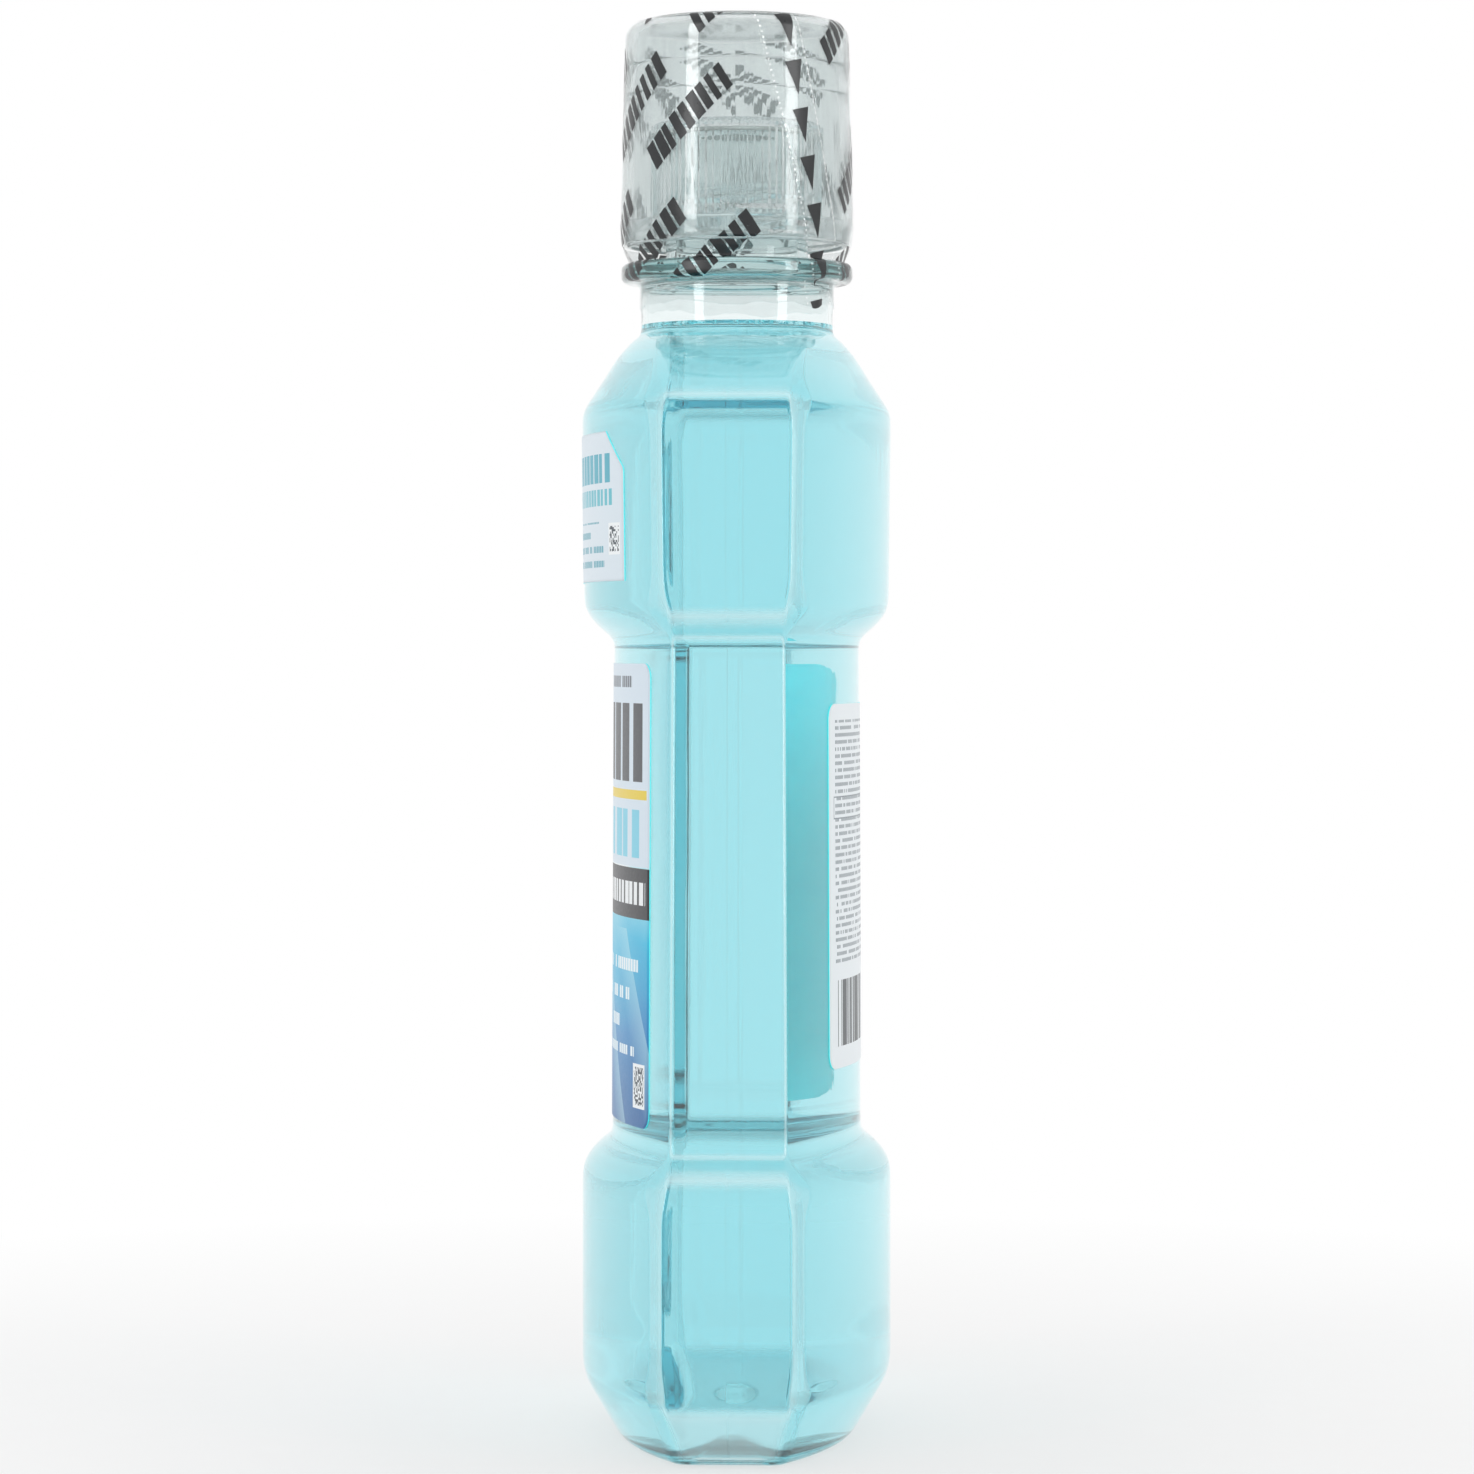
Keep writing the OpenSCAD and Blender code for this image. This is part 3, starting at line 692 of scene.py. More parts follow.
def moulded_ripple():
    """The faint waviness and the handling marks of a moulded clear wall."""
    desk, source, sink = group_desk(
        "moulded_ripple", ["Wave scale", "Scratch scale", "Wave", "Scratch"],
        ["Height", "Haze"])
    wave = desk.cloud(source["Wave scale"])
    scratch = desk.cloud(source["Scratch scale"], (1, 1, 0.06))
    desk.fill(sink, wave * source["Wave"] + scratch * source["Scratch"],
        desk.spread(scratch, 0.45, 0.8))
    return desk.tree


ROWS, BLOCKS, RIPPLE = text_rows(), block_word(), moulded_ripple()


# Both take a desk and the group's inputs in their order
def rows(desk, *values):
    return desk.group(ROWS, *values)["Ink"]


def bars(desk, *values):
    return desk.group(BLOCKS, *values)["Ink"]


# ---- The materials

def clear_wall():
    desk = material_desk("blown_clear_wall")
    ripple = desk.group(RIPPLE, 55, 700, 1, 0.05)
    normal = desk.bump(ripple["Height"], 0.12, 0.0006)
    glass = desk.glass((0.965, 0.99, 0.99), 0.0, 1.5, normal)
    # The upright corners get painted highlights: a pale, opaque shader laid on as lines by the
    # corner mask
    pale = desk.shader((0.8, 0.98, 1, 1), 0.3, Normal=normal)
    highlight_ridge = desk.fill(desk.put("ShaderNodeAttribute", attribute_name="painted_corner_highlight"))["Fac"]
    wall = desk.lamplit(desk.blend(highlight_ridge * 0.55, glass, pale), (0.93, 0.97, 0.97))
    return desk.coat(wall, desk.absorb((0.1, 0.55, 0.55), 45))


def liquid():
    desk = material_desk("blue_green_mouthwash")
    glass = desk.glass((1, 1, 1), 0.0, 1.333, desk.bump(desk.cloud(30), 0.03, 0.0005))
    return desk.coat(desk.lamplit(glass, (1, 1, 1)), desk.absorb((0.05, 0.785, 0.87), 12.7))


def bubble_skin():
    desk = material_desk("bubble_skin")
    glass = desk.glass((0.72, 0.93, 0.95), 0.02, 1.25, desk.bump(desk.cloud(900), 0.2, 0.0002))
    return desk.coat(desk.lamplit(glass, (0.9, 0.97, 0.97)))


def hazy_plastic(name, tint, haze, density, wave, bend):
    """Moulded clear plastic: bends light, and part of it is scattered by the haze."""
    desk = material_desk(name)
    ripple = desk.group(RIPPLE, wave, 1400, 0.8, 0.25)
    normal = desk.bump(ripple["Height"], 0.1, 0.0004)
    glass = desk.glass(tint, 0.02, bend, normal)
    milk = desk.shader((0.62, 0.7, 0.7, 1), 0.25, 1.49, Normal=normal)
    cloudy = desk.spread(ripple["Haze"], 0, 1, haze, haze * 1.6)
    wall = desk.lamplit(desk.blend(cloudy, glass, milk), (0.85, 0.9, 0.9))
    return desk.coat(wall, desk.absorb((0.3, 0.5, 0.48), density))


def foam():
    desk = material_desk("white_foam_disc")
    cells = desk.make("TexVoronoi", Vector=desk.place(), Scale=2500)["Distance"]
    colour = desk.paint((0.9, 0.9, 0.87, 1), (0.78, 0.79, 0.76, 1), desk.spread(cells, 0.2, 0.7))
    return desk.coat(desk.shader(colour, 0.8, Normal=desk.bump(cells, 0.4, 0.0002)))


# The film's print: where the first word's foot is, how the words lean, the pitch of their
# rows, how far each row is shifted, and the pitch of the words in a row
WORD_U, WORD_V, WORD_LEAN = -15.8, 207.2, radians(44)
ROW_GAP, ROW_SHIFT, WORD_GAP = 10.0, 7.2, 27.9
TRIANGLE_GAP, HOLE_GAP, HOLES_BESIDE = 7.7, 0.9, 3.2


def shrink_film(name, clearness):
    """Clear film with plain slanted black bars for words, and the tear strip's triangles."""
    desk = material_desk(name)
    u, v = desk.sheet("print_mm")
    # Turned so that one axis runs along the slanted words, from the first word's foot
    x, y, run, rise = u - WORD_U, v - WORD_V, cos(WORD_LEAN), sin(WORD_LEAN)
    along, over = x * run + y * rise, y * run - x * rise
    line = (over + 2.15) / ROW_GAP
    row, up = line.floor(), line.fract() * ROW_GAP
    turn = (along + row * ROW_SHIFT) / WORD_GAP
    # No word has its middle on the plain stretch beside the tear strip
    middle = (turn.floor() + 0.36) * WORD_GAP - row * ROW_SHIFT
    plain = (middle * run - row * (ROW_GAP * rise)).between(16.3, 33)
    # Blocks lean back a little, as slanted print does
    words = bars(desk, turn.fract() * WORD_GAP - up * 0.18, up, 19.8, 4.3, 2.2,
        row * 7 + turn.floor())
    side, down = desk.sheet("strip_mm")
    beside = side.calc("ABSOLUTE")
    words = words * (beside > 4.2) * (1.0 - plain) * (v > 185.0)
    tooth = (down / TRIANGLE_GAP).fract() * TRIANGLE_GAP
    # The triangles stand a little steeper than the strip
    off = (side - desk.spread(down, 24, 58, -0.9, 1.3)).calc("ABSOLUTE")
    triangle = (off < tooth * 0.28) * tooth.between(0, 5.5)
    hole_up = (down / HOLE_GAP).fract() - 0.5
    hole_side = (beside - HOLES_BESIDE) / HOLE_GAP
    hole = (hole_up * hole_up + hole_side * hole_side).calc("SQRT") < 0.2
    ink = words.calc("MAXIMUM", triangle) * (1.0 - hole)
    worn = ink * desk.spread(desk.cloud(1500), 0.2, 0.42, 0.75, 0.97)
    normal = desk.bump(desk.cloud(260, (1, 1, 0.35), 3.0) + hole * 0.5, 0.1, 0.0005)
    black = desk.shader((0.012, 0.014, 0.016, 1), 0.3, Normal=normal)
    gloss = desk.make("BsdfAnisotropic", Color=(1, 1, 1, 1), Roughness=0.09, Normal=normal)[0]
    clear = desk.transparent((clearness, clearness + 0.01, clearness + 0.01))
    # Inside the film the Fresnel node takes a straight ray for a trapped one, so only the
    # faces that are met from the air are glossy
    shine = desk.make("Fresnel", 1.5, normal)[0] + hole * 0.35
    facing = 1.0 - desk.make("NewGeometry")["Backfacing"]
    return desk.coat(desk.blend(worn, desk.blend(shine * facing, clear, gloss), black))


def laminated(desk, colour):
    """Gloss of laminated label stock over its print."""
    grain = desk.cloud(1800)
    return desk.coat(desk.shader(colour, desk.spread(grain, 0, 1, 0.28, 0.42),
        Normal=desk.bump(grain, 0.06, 0.0002)))


CODE_CELL, CODE_EDGE = 0.34, 0.5


def code_patch(desk, colour, u, v, left, right, low, high):
    """A small white patch of random dark cells, as a plain stand-in for a printed code."""
    cells = desk.dots((u / CODE_CELL).floor(), (v / CODE_CELL).floor())
    inner = desk.box(u, v, left + CODE_EDGE, right - CODE_EDGE, low + CODE_EDGE, high - CODE_EDGE)
    return desk.layers(colour, ((0.88, 0.92, 0.94), desk.box(u, v, left, right, low, high)),
        ((0.03, 0.05, 0.07), (cells > 0.5) * inner))


def front_print():
    desk = material_desk("front_label_print")
    u, v = desk.sheet("label_mm")
    fade = desk.put("ShaderNodeValToRGB")
    elements = fade.color_ramp.elements
    elements.remove(elements[-1])
    elements[0].color = (0.012, 0.13, 0.36, 1)
    for place, colour in ((0.2, (0.02, 0.25, 0.55)), (0.38, (0.03, 0.5, 0.75)),
            (0.52, (0.38, 0.78, 0.88)), (0.56, (0.86, 0.92, 0.95))):
        elements.new(place).color = (*colour, 1)
    colour = desk.fill(fade, (v + (desk.cloud(45) - 0.5) * 16) / 73.3)[0]
    streak = desk.spread(((u + v * 0.6) / 19).fract(), 0.55, 1)
    colour = desk.layers(
        colour, ((0.55, 0.86, 0.93), streak * 0.4 * (v < 31)), ((0.67, 0.77, 0.86), v > 41),
        ((0.045, 0.05, 0.06), bars(desk, u - 5, v - 54.4, 62.5, 12.4, 7, 3)),
        ((0.8, 0.6, 0.03), desk.box(u, v, 5, 67.5, 51.6, 53.1)),
        ((0.2, 0.62, 0.78), bars(desk, u - 14, v - 42.4, 52, 7.6, 5.8, 5)),
        ((0.1, 0.12, 0.15), rows(desk, u - 20, v - 69.3, 6, 0.3, 1.25, 46) * v.between(69, 72)),
        ((0.012, 0.014, 0.02), v.between(32.8, 40.8)),
        ((0.85, 0.88, 0.9), bars(desk, u - 33, v - 35, 34, 3.6, 2.6, 8)),
        ((0.8, 0.9, 0.94), rows(desk, u - 24, v - 6, 4.6, 0.42, 1.5, 44) * v.between(11, 29)))
    return laminated(desk, code_patch(desk, colour, u, v, 61.5, 67, 3, 10))


def back_print():
    desk = material_desk("back_label_print")
    u, v = desk.sheet("label_mm")
    ink = (0.2, 0.24, 0.27)
    ruled_box = desk.box(u, v, 2.2, 51.8, 39.6, 43.2) - desk.box(u, v, 2.4, 51.6, 39.8, 43.0)
    code_bars = (desk.dots((u / 0.36).floor(), 4) > 0.48) * desk.box(u, v, 4, 30, 3.5, 14)
    return laminated(desk, desk.layers(
        (0.8, 0.85, 0.88, 1),
        (ink, rows(desk, u - 3, v, 1.12, 0.5, 0.62, 49) * v.between(16.5, 55.3)),
        (ink, ruled_box), ((0.05, 0.06, 0.07), code_bars),
        (ink, rows(desk, u - 33, v, 1.5, 0.45, 0.8, 17) * v.between(3.5, 14))))


def shoulder_print():
    desk = material_desk("shoulder_label_print")
    u, v = desk.sheet("label_mm")
    lines = rows(desk, u - 30, v - 2.3, 2.3, 0.45, 1.05, 40) * v.between(2.3, 9.5)
    colour = desk.layers(
        (0.7, 0.79, 0.86, 1),
        ((0.05, 0.4, 0.52), bars(desk, u - 16, v - 15.6, 52.5, 4.6, 3.1, 11)),
        ((0.1, 0.5, 0.6), bars(desk, u - 36, v - 12, 33, 2.6, 2.1, 12)),
        ((0.06, 0.36, 0.46), lines), ((0.16, 0.55, 0.68), desk.box(u, v, 6, 11, 6, 18)))
    return laminated(desk, code_patch(desk, colour, u, v, 67.2, 72.2, 4.2, 9.2))


def label_underside_painted_glow():
    """The glued side of a label, seen through the liquid. It is painted in the teal of the light
    that reaches it through the liquid, and the light that the sheet lets through from its other
    side is written as a faint painted glow."""
    desk = material_desk("label_underside_painted_glow")
    colour = desk.paint((0.16, 0.93, 0.96, 1), (0.13, 0.88, 0.93, 1),
        desk.spread(desk.cloud(260), 0.35, 0.7))
    # Painted glow: the glued side gives off teal light, though it is no lamp
    return desk.coat(desk.shader(colour, 0.6, 1.01, Emission_Color=(0.05, 1, 1, 1),
        Emission_Strength=0.27))


# ---- Labels

GLUE, LABEL_T, LABEL_SUNK, LABEL_MARGIN = 0.05, 0.1, 0.02, 0.02
# The two fronts that carry labels: from and to which height, depths there, width and bulge
WAIST_FRONT = WAIST_Z, WAIST_TOP_Z, WAIST_LOW_D, WAIST_TOP_D, WAIST_W, WAIST_BULGE
BLOCK_FRONT = UPPER_Z, UPPER_TOP_Z, UPPER_LOW_D, UPPER_TOP_D, BLOCK_W, BLOCK_BULGE


def label_sheet(name, side, low, height, width, front, corner, cut=(0, 1)):
    """A grid is bent to a front of the body and given its thickness. side is -1 on the front
    and 1 on the back, and cut is how far the upper corners are cut off, across and down."""
    bpy.ops.mesh.primitive_grid_add(x_subdivisions=64, y_subdivisions=40, size=1)
    piece = named(name)
    mesh = edit(piece)
    uv = mesh.loops.layers.uv.new("label_mm")
    flat = {}
    foot, top, low_d, top_d, wide, bulge = front
    arc_r = front_r(wide / 2, bulge)
    for vert in mesh.verts:
        # Rows crowd towards the top and bottom edges, where the corners round off
        s = vert.co.y + 0.5
        v = height * (0.5 - 0.5 * cos(pi * s)) if corner else height * s
        v = within(v, LABEL_MARGIN, height - LABEL_MARGIN)
        rounded = corner - min(v, height - v, corner)
        half = width / 2 - corner + sqrt(corner ** 2 - rounded ** 2)
        u = 2 * vert.co.x * (half - cut[0] * within(1 - (height - v) / cut[1]))
        flat[vert.index] = (width / 2 + u, v)
        depth = mix(low_d, top_d, (low + v - foot) / (top - foot))
        y = depth / 2 - arc_r * (1 - cos(u / arc_r)) - LABEL_SUNK
        vert.co = Vector((-side * arc_r * sin(u / arc_r), side * y, low + v)) * MM
    for face in mesh.faces:
        for loop in face.loops:
            loop[uv].uv = flat[loop.vert.index]
    select_all()
    bpy.ops.mesh.faces_shade_smooth()
    leave_edit(piece)
    thicken(piece, GLUE + LABEL_T, use_even_offset=True, use_rim=True)
    return piece


# ---- The cap

FLUTES, FLUTE_DEPTH = 160, 0.012
DOSE_ZS = (222.4, 217.7)
CLOSURE_R, CLOSURE_BORE_R, SNAP_R, CLOSURE_RIBS = 13.6, 12.85, 17.5, 72
LINER_R, LINER_Z = 12.5, 211.06


def cup():
    """The dosing cup stands upside down: a rim bead, a slim taper with fine upright flutes,
    and dose lines and a snap groove inside."""
    rim_r = CUP_R - 0.5
    in_r, in_top_r = CUP_R - CUP_WALL, CUP_TOP_R - CUP_WALL
    line = ([(rim_r - 1.1, CUP_Z + 0.05)] + arc(rim_r - 1, CUP_Z + 1, 1, -80, 0)
        + [(CUP_R - 0.02, CUP_WIDE_Z), (CUP_TOP_R - 0.02, CUP_ROUND_Z)]
        + arc(CUP_TOP_R - 3, CUP_ROUND_Z, 2.98, 8, 90, 9)
        + [(9, CUP_TOP_Z - 0.1), (0, CUP_TOP_Z - 0.14),
           (0, CUP_TOP_Z - CUP_WALL - 0.1), (9, CUP_TOP_Z - CUP_WALL - 0.06)]
        + arc(in_top_r - 2.1, CUP_ROUND_Z, 1.75, 90, 10))
    for dose in DOSE_ZS:
        r = mix(in_r, in_top_r, (dose - CUP_WIDE_Z) / (CUP_ROUND_Z - CUP_WIDE_Z)) - 0.35
        line += [(r, dose + 0.3), (r - 0.1, dose), (r, dose - 0.3)]
    line += [(in_r - 0.35, 197.5), (in_r - 0.35, 197.1), (in_r - 0.05, 197.0), (in_r - 0.05, 193.7),
        (in_r - 0.35, 193.35), (in_r - 0.35, CUP_Z + 0.1)]
    piece = turned("clear_dosing_cup", fill_in(line + line[:1], 1.6), 30)
    low, high = CUP_WIDE_Z - 1, CUP_ROUND_Z + 0.5

    def flutes(r, turn, z):
        if r < CUP_R - 0.9 or not low < z < high:
            return 0
        fade = min(1, (z - low) / 2, (high - z) / 2)
        return -FLUTE_DEPTH * fade * (0.5 - 0.5 * cos(FLUTES * turn))

    return finished(piece, 32, flutes)


def closure():
    """The screw closure inside the cup, with its ribs, snap ring and inner thread."""
    line = [(CLOSURE_BORE_R, 193.75), (SNAP_R - 0.3, 193.75), (SNAP_R, 194.1), (SNAP_R, 196.8),
        (SNAP_R - 0.3, 197.05), (CLOSURE_R + 0.5, 197.1), (CLOSURE_R, 197.6), (CLOSURE_R, 212.4),
        (CLOSURE_R - 0.5, 213.0), (9, 213.08), (0, 213.08), (0, 211.95),
        (CLOSURE_BORE_R - 0.4, 211.95), (CLOSURE_BORE_R, 211.5)]
    piece = turned("ribbed_screw_closure", fill_in(line + line[:1], 0.8), 27)

    def ribs_and_thread(r, turn, z):
        if abs(r - CLOSURE_R) < 0.05 and 197.8 < z < 212.6:
            return 0.42 * within(0.5 + 0.9 * cos(CLOSURE_RIBS * turn))
        if abs(r - CLOSURE_BORE_R) < 0.05 and 194 < z < 204:
            return -THREAD_OUT * neck_thread(turn, z + THREAD_PITCH / 2)
        return 0

    return finished(piece, 35, ribs_and_thread)


def liner():
    r, low = LINER_R, LINER_Z
    piece = turned("foam_seal_disc", [(0, low), (r * 0.5, low)]
        + arc(r - 0.15, low + 0.15, 0.15, -90, 0, 3) + arc(r - 0.15, low + 0.63, 0.15, 0, 90, 3)
        + [(r * 0.5, low + 0.74), (0, low + 0.78)], 6)
    return finished(piece, 40)


# ---- The film

FILM_STEPS, FILM_OFF, FILM_T = 288, 0.1, 0.05
SLEEVE_Z, SLEEVE_MAP_TOP = 193.3, 231
STRIP_OUT = Vector((cos(STRIP_TURN), sin(STRIP_TURN), 0))
STRIP_ACROSS = Vector((-sin(STRIP_TURN) * cos(STRIP_LEAN), cos(STRIP_TURN) * cos(STRIP_LEAN),
    sin(STRIP_LEAN)))
STRIP_UP = STRIP_OUT.cross(STRIP_ACROSS)
STRIP_MIDDLE = Vector((CUP_R * STRIP_OUT.x, CUP_R * STRIP_OUT.y, (CUP_Z + CUP_TOP_Z) / 2))
# The photograph's side of the bottle, where the print is measured from
PRINT_FROM = radians(2)

# Creases in the film: where they run (mm round the film, height), how wide and how deep
CREASES = [
    (6.9, 211.5, 8.4, 207.6, 0.7, 0.16), (8.4, 207.6, 13.4, 201.2, 0.7, 0.2),
    (6, 218, 6.9, 211.5, 0.6, 0.12), (17, 215.5, 17.6, 203, 0.5, 0.12),
    (16.6, 224, 17.2, 217.5, 0.6, 0.12), (-7.6, 205, -6.4, 196.5, 0.8, 0.14),
    (-13, 198.6, -6, 196.2, 0.7, 0.12), (2, 196, 8.6, 199.8, 0.6, 0.14),
    (-17.5, 216, -16, 204, 0.7, 0.1), (24, 222, 30, 204, 0.8, 0.16),
    (-30, 220, -26, 205, 0.8, 0.14), (45, 221, 41, 200, 0.8, 0.18)]


def wrinkle(u, z):
    """How far the film stands off at a place, from its creases and a gentle ripple."""
    height = 0.035 * (1 + noise.noise(Vector((u / 4.5, z / 11, 3))))
    height += 0.03 * max(0, noise.noise(Vector((u / 1.6, z / 3.5, 9))))
    for u0, z0, u1, z1, wide, deep in CREASES:
        run = (u1 - u0) ** 2 + (z1 - z0) ** 2
        t = within(((u - u0) * (u1 - u0) + (z - z0) * (z1 - z0)) / run)
        bend = 0.35 * sin(9 * t)
        off = hypot(u - mix(u0, u1, t) - bend, z - mix(z0, z1, t))
        height += 0.55 * deep * exp(-(off / wide) ** 2) * sin(pi * (0.08 + 0.84 * t))
    return height


def film_sheet(name, line, loose, lift, top_v):
    """A line of [radius, height] as a thin round sheet with its print maps. loose and lift
    say how far it stands off and rises, and top_v is where the words' map ends."""
    def point(r, z, turn):
        u = (turn - PRINT_FROM + pi) % (2 * pi) - pi
        grow = r + loose(u * FILM_R, z)
        return grow * cos(turn), grow * sin(turn), z + lift(u, z)

    turns = [2 * pi * i / FILM_STEPS for i in range(FILM_STEPS)]
    piece = loft(name, [[point(r, z, turn) for turn in turns] for r, z in line], closed=False)
    map_print(piece.data, line, top_v)
    return piece


def map_print(mesh, line, top_v):
    """UV maps in millimetres: round and along the film for the words, and by the strip."""
    length = lengths(line)
    shift = top_v - length[-1]
    rows_at = [item.value for item in mesh.attributes["row"].data]
    print_map = mesh.uv_layers.new(name="print_mm")
    strip_map = mesh.uv_layers.new(name="strip_mm")
    for face in mesh.polygons:
        middle = atan2(face.center.y, face.center.x)
        for k in face.loop_indices:
            index = mesh.loops[k].vertex_index
            place = mesh.vertices[index].co
            turn = atan2(place.y, place.x)
            turn += 2 * pi * round((middle - turn) / (2 * pi))
            u = turn - PRINT_FROM
            if middle - PRINT_FROM < -pi:
                u += 2 * pi
            print_map.data[k].uv = (u * FILM_R, shift + length[rows_at[index]])
            off = place / MM - STRIP_MIDDLE
            near = place.dot(STRIP_OUT) > 0
            strip_map.data[k].uv = (off.dot(STRIP_ACROSS) if near else 40,
                off.dot(STRIP_UP) + TRIANGLE_GAP * 6 - 4.9)


def cut_film(piece, half, keep_strip):
    """Cuts the film along both edges of the strip, and keeps the strip or all the rest."""
    for way in (-1, 1):
        mesh = edit(piece)
        for face in mesh.faces:
            face.select = face.calc_center_median().dot(STRIP_OUT) > 0
        mesh.select_flush(True)
        bpy.ops.mesh.bisect(plane_co=(STRIP_MIDDLE + STRIP_ACROSS * half * way) * MM,
            plane_no=STRIP_ACROSS)
    mesh = edit(piece)
    for face in mesh.faces:
        centre = face.calc_center_median()
        off = (centre / MM - STRIP_MIDDLE).dot(STRIP_ACROSS)
        in_strip = centre.dot(STRIP_OUT) > 0 and abs(off) < half
        face.select = in_strip != keep_strip
    mesh.select_flush(True)
    bpy.ops.mesh.delete(type="FACE")
    leave_edit(piece)


def sleeve_line():
    r = CUP_R + FILM_OFF
    lower = [(r - 0.25 * (1 - i / 6) ** 2, mix(SLEEVE_Z, CUP_WIDE_Z, i / 6)) for i in range(6)]
    side = [(mix(CUP_R, CUP_TOP_R, i / 60) + FILM_OFF, mix(CUP_WIDE_Z, CUP_ROUND_Z, i / 60))
        for i in range(60)]
    return lower + side + arc(CUP_TOP_R - 3, CUP_ROUND_Z, 3 + FILM_OFF, 8, 54, 8)


def skirt_line():
    """From the neck, out under the support ring, round it, and in below the cup's rim."""
    r = NECK_R + FILM_OFF
    line = ([(r, mix(182.2, 185.9, i / 12)) for i in range(13)]
        + [(r + 0.12, 186.4), (r + 0.5, 186.85), (r + 1.2, 187.05)]
        + arc(RING_R - 1, RING_Z + 1, 1 + FILM_OFF, -90, 0)
        + arc(RING_R - 1, RING_TOP_Z - 1, 1 + FILM_OFF, 0, 90)[1:]
        + [(17.55, 190.45), (17.7, 190.9), (18.0, 191.5), (18.35, 192.2), (18.6, 192.95)])
    return fill_in(line, 0.35) + line[-1:]


def skirt_loose(u, z):
    """Gathers in the skirt: strongest below the ring, where the film narrows."""
    low = within((187.4 - z) / 2)
    tuck = max(0, 1 - abs(z - 190.9) / 1.2)
    gather = noise.noise(Vector((u / 2.2, z / 6, 20)))
    return (0.05 + 0.05 * gather) * (0.4 + low + tuck) + 0.08 * low * abs(gather)


def skirt_lift(turn, z):
    """The ragged lower edge: it rises where the film is cut short."""
    low = within((186.6 - z) / 4.4)
    edge = 0.9 + 1.1 * noise.noise(Vector((cos(turn) * 2.4, sin(turn) * 2.4, 5)))
    edge += 0.35 * noise.noise(Vector((cos(turn) * 9, sin(turn) * 9, 8)))
    return low * max(0.0, edge)


# ---- Making the pieces

BUBBLES, BUBBLE_SEED = 150, 7


def bubble_ring():
    """Small bubbles along the waterline, copied from one and joined."""
    random.seed(BUBBLE_SEED)
    bpy.ops.mesh.primitive_ico_sphere_add(subdivisions=2, radius=MM)
    ball = named("bubble_ring")
    bubbles = []
    for _ in range(BUBBLES):
        turn = random.uniform(0, 2 * pi)
        size = random.uniform(0.22, 0.62) * (1.25 if random.random() < 0.15 else 1)
        r = SKIN_R - WALL - size - random.choice([0.05, 0.1, 0.6, 1.3]) - random.random() * 0.4
        bubble = twin(ball)
        for vert in bubble.data.vertices:
            squash = 0.8 if vert.co.z < 0 else 1
            vert.co = Vector((vert.co.x * size + r * cos(turn) * MM,
                vert.co.y * size + r * sin(turn) * MM,
                vert.co.z * size * squash + (FILL_Z + 0.25 + size * 0.2) * MM))
        bubbles.append(bubble)
    bpy.data.objects.remove(ball)
    pick(*bubbles)
    bpy.ops.object.join()
    bpy.ops.object.shade_smooth()
    return named("bubble_ring")


shell = bottle_shell()
# The shell's upright corners carry painted highlight lines
mark_highlight_ridges(shell)
dress(shell, [clear_wall()], "bottle", "clear_bottle", "bottle_body")
dress(liquid_body(), [liquid()], "bottle", "blue_green_liquid", "mouthwash")
dress(bubble_ring(), [bubble_skin()], "bottle", "blue_green_liquid")

# Node, side, print, slot, then where the foot is, height, width, front and rounded corner
LABELS = [
    ("front_label", -1, front_print(), "front_print", 52.1, 73.1, 68.8, WAIST_FRONT, 2.5),
    ("back_label", 1, back_print(), "back_print", 60.9, 57.9, 53.8, WAIST_FRONT, 2.5),
    ("shoulder_label", -1, shoulder_print(), "shoulder_print", 138.1, 23.7, 73.8,
     BLOCK_FRONT, 0, (7.5, 6.1))]
glued_side = label_underside_painted_glow()
for node, side, look, slot, *sizes in LABELS:
    label = label_sheet(node + "_sheet", side, *sizes)
    dress(label, [look, glued_side], "bottle", slot, node)
    # The print is on the faces that look out, and the rest shows the glued side
    for face in label.data.polygons:
        face.material_index = 0 if face.normal.y * side > 0.05 else 1

cup_look = hazy_plastic("hazy_cup_plastic", (0.95, 0.965, 0.965), 0.13, 3, 70, 1.49)
closure_look = hazy_plastic("hazy_closure_plastic", (0.99, 0.995, 0.995), 0.01, 1, 90, 1.5)
dress(cup(), [cup_look], "cap", "clear_cap", "dosing_cup")
dress(closure(), [closure_look], "cap", "clear_closure", "inner_closure")
dress(liner(), [foam()], "liner", "white_foam", "seal_liner")

sleeve = film_sheet("printed_film_sleeve", sleeve_line(), wrinkle, lambda turn, z: 0,
    SLEEVE_MAP_TOP)
strip = twin(sleeve)
strip.name = strip.data.name = "film_tear_strip"
cut_film(sleeve, STRIP_W / 2, False)
cut_film(strip, STRIP_W / 2 - STRIP_GAP, True)
skirt = film_sheet("printed_film_skirt", skirt_line(), skirt_loose, skirt_lift, SLEEVE_Z)
for piece in (sleeve, strip, skirt):
    thicken(piece, FILM_T)
film = [shrink_film("printed_shrink_film", 0.965)]
dress(sleeve, film, "sleeve", "clear_film", "film_sleeve")
dress(strip, film, "strip", "strip_film", "tear_strip")
# The film on the neck is a darker copy of the same film, painted shade that lets less light through
dress(skirt, [shrink_film("neck_film_painted_shade", 0.935)], "bottle", "clear_film", "film_skirt")


# ---- Floor, light and camera

CAMERA_TURN, CAMERA_FAR, CAMERA_Z = radians(2), 0.775, 0.1273
LAMP_AIM = Vector((0, 0, 0.13))
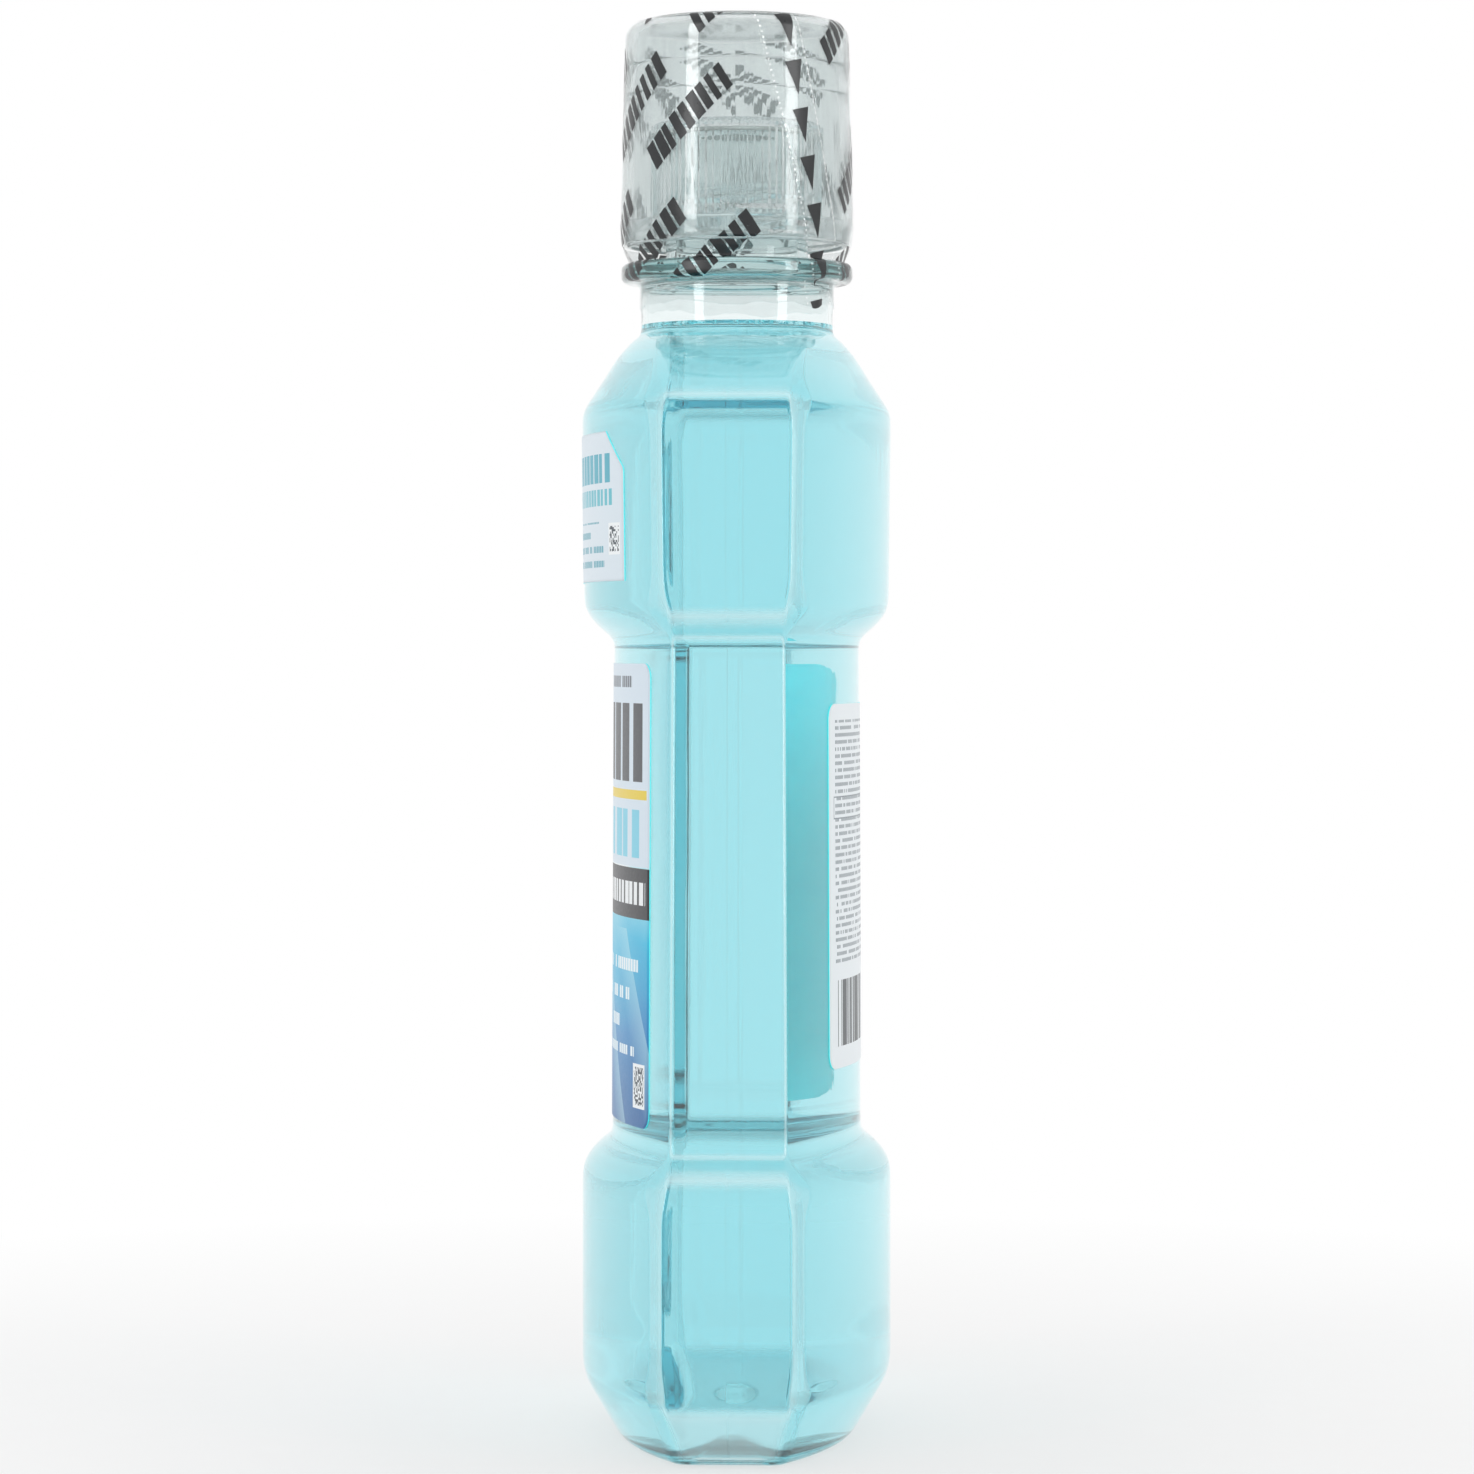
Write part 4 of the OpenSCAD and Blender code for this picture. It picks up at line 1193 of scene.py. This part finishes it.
# Soft lamps that face the bottle: direction in degrees, distance, height, width, tallness,
# power, and whether it shows as a reflection
SOFTBOXES = {"left_softbox": (-44, 1.6, 0.35, 0.32, 1.5, 8, True),
    "right_softbox": (58, 1.6, 0.35, 0.36, 1.5, 8, True),
    "front_softbox": (-135, 1.7, 0.5, 0.4, 1.3, 4, False),
    "back_softbox": (140, 1.7, 0.5, 0.4, 1.3, 4, False)}


def seen_ray(desk):
    """1 for the rays that show the studio: straight, mirrored, or through something clear."""
    path = desk.make("LightPath")
    other = path["Is Glossy Ray"].calc("MAXIMUM", path["Is Transmission Ray"])
    return path["Is Camera Ray"].calc("MAXIMUM", other)


def softbox(name, degrees, distance, height, wide, tall, power, mirrored):
    bpy.ops.object.light_add(type="AREA")
    lamp = named(name)
    lamp.data.shape, lamp.data.energy = "RECTANGLE", power
    lamp.data.size, lamp.data.size_y = wide, tall
    turn = radians(degrees)
    lamp.location = distance * cos(turn), distance * sin(turn), height
    lamp.visible_transmission, lamp.visible_glossy = False, mirrored
    lamp.rotation_euler = (LAMP_AIM - lamp.location).to_track_quat("-Z", "Y").to_euler()


# A pale floor that keeps the bottle's shadow and turns to plain white further off
bpy.ops.mesh.primitive_circle_add(vertices=96, radius=4, fill_type="NGON",
    location=(0, 0, -0.0001))
floor = named("studio_floor")
desk = material_desk("pale_studio_floor")
far = desk.fill(desk.put("ShaderNodeVectorMath", operation="LENGTH"), desk.place())["Value"]
least = desk.spread(desk.make("LightPath")["Is Transmission Ray"], 0, 1, 0.55, 0.85)
share = seen_ray(desk) * desk.spread(far, 0.06, 0.3, least, 1)
grey = desk.paint((0.9, 0.9, 0.9, 1), (0.87, 0.87, 0.87, 1), desk.cloud(120))
paper = desk.shader(grey, 0.9)
glow = desk.make("Emission", (1, 1, 1, 1))[0]
floor.data.materials.append(desk.coat(desk.blend(share, paper, glow)))

scene = bpy.context.scene
world = bpy.data.worlds.new("studio_white")
scene.world = world
world.use_nodes = True
world.node_tree.nodes.clear()
desk = Desk(world.node_tree)
glow = desk.spread(seen_ray(desk), 0, 1, 0.65, 1.0)
desk.make("OutputWorld", desk.make("Background", (1, 1, 1, 1), glow)[0])

for name, settings in SOFTBOXES.items():
    softbox(name, *settings)

place = (CAMERA_FAR * cos(CAMERA_TURN), CAMERA_FAR * sin(CAMERA_TURN), CAMERA_Z)
bpy.ops.object.camera_add(location=place, rotation=(pi / 2, 0, pi / 2 + CAMERA_TURN))
camera = named("photo_view")
view = camera.data
view.lens, view.sensor_width, view.shift_y, view.clip_start = 115.8, 36, -0.059, 0.02
scene.camera = camera

scene.view_settings.view_transform = "Standard"
cycles = scene.cycles
cycles.max_bounces = cycles.transmission_bounces = cycles.transparent_max_bounces = 32
cycles.glossy_bounces, cycles.diffuse_bounces = 28, 5
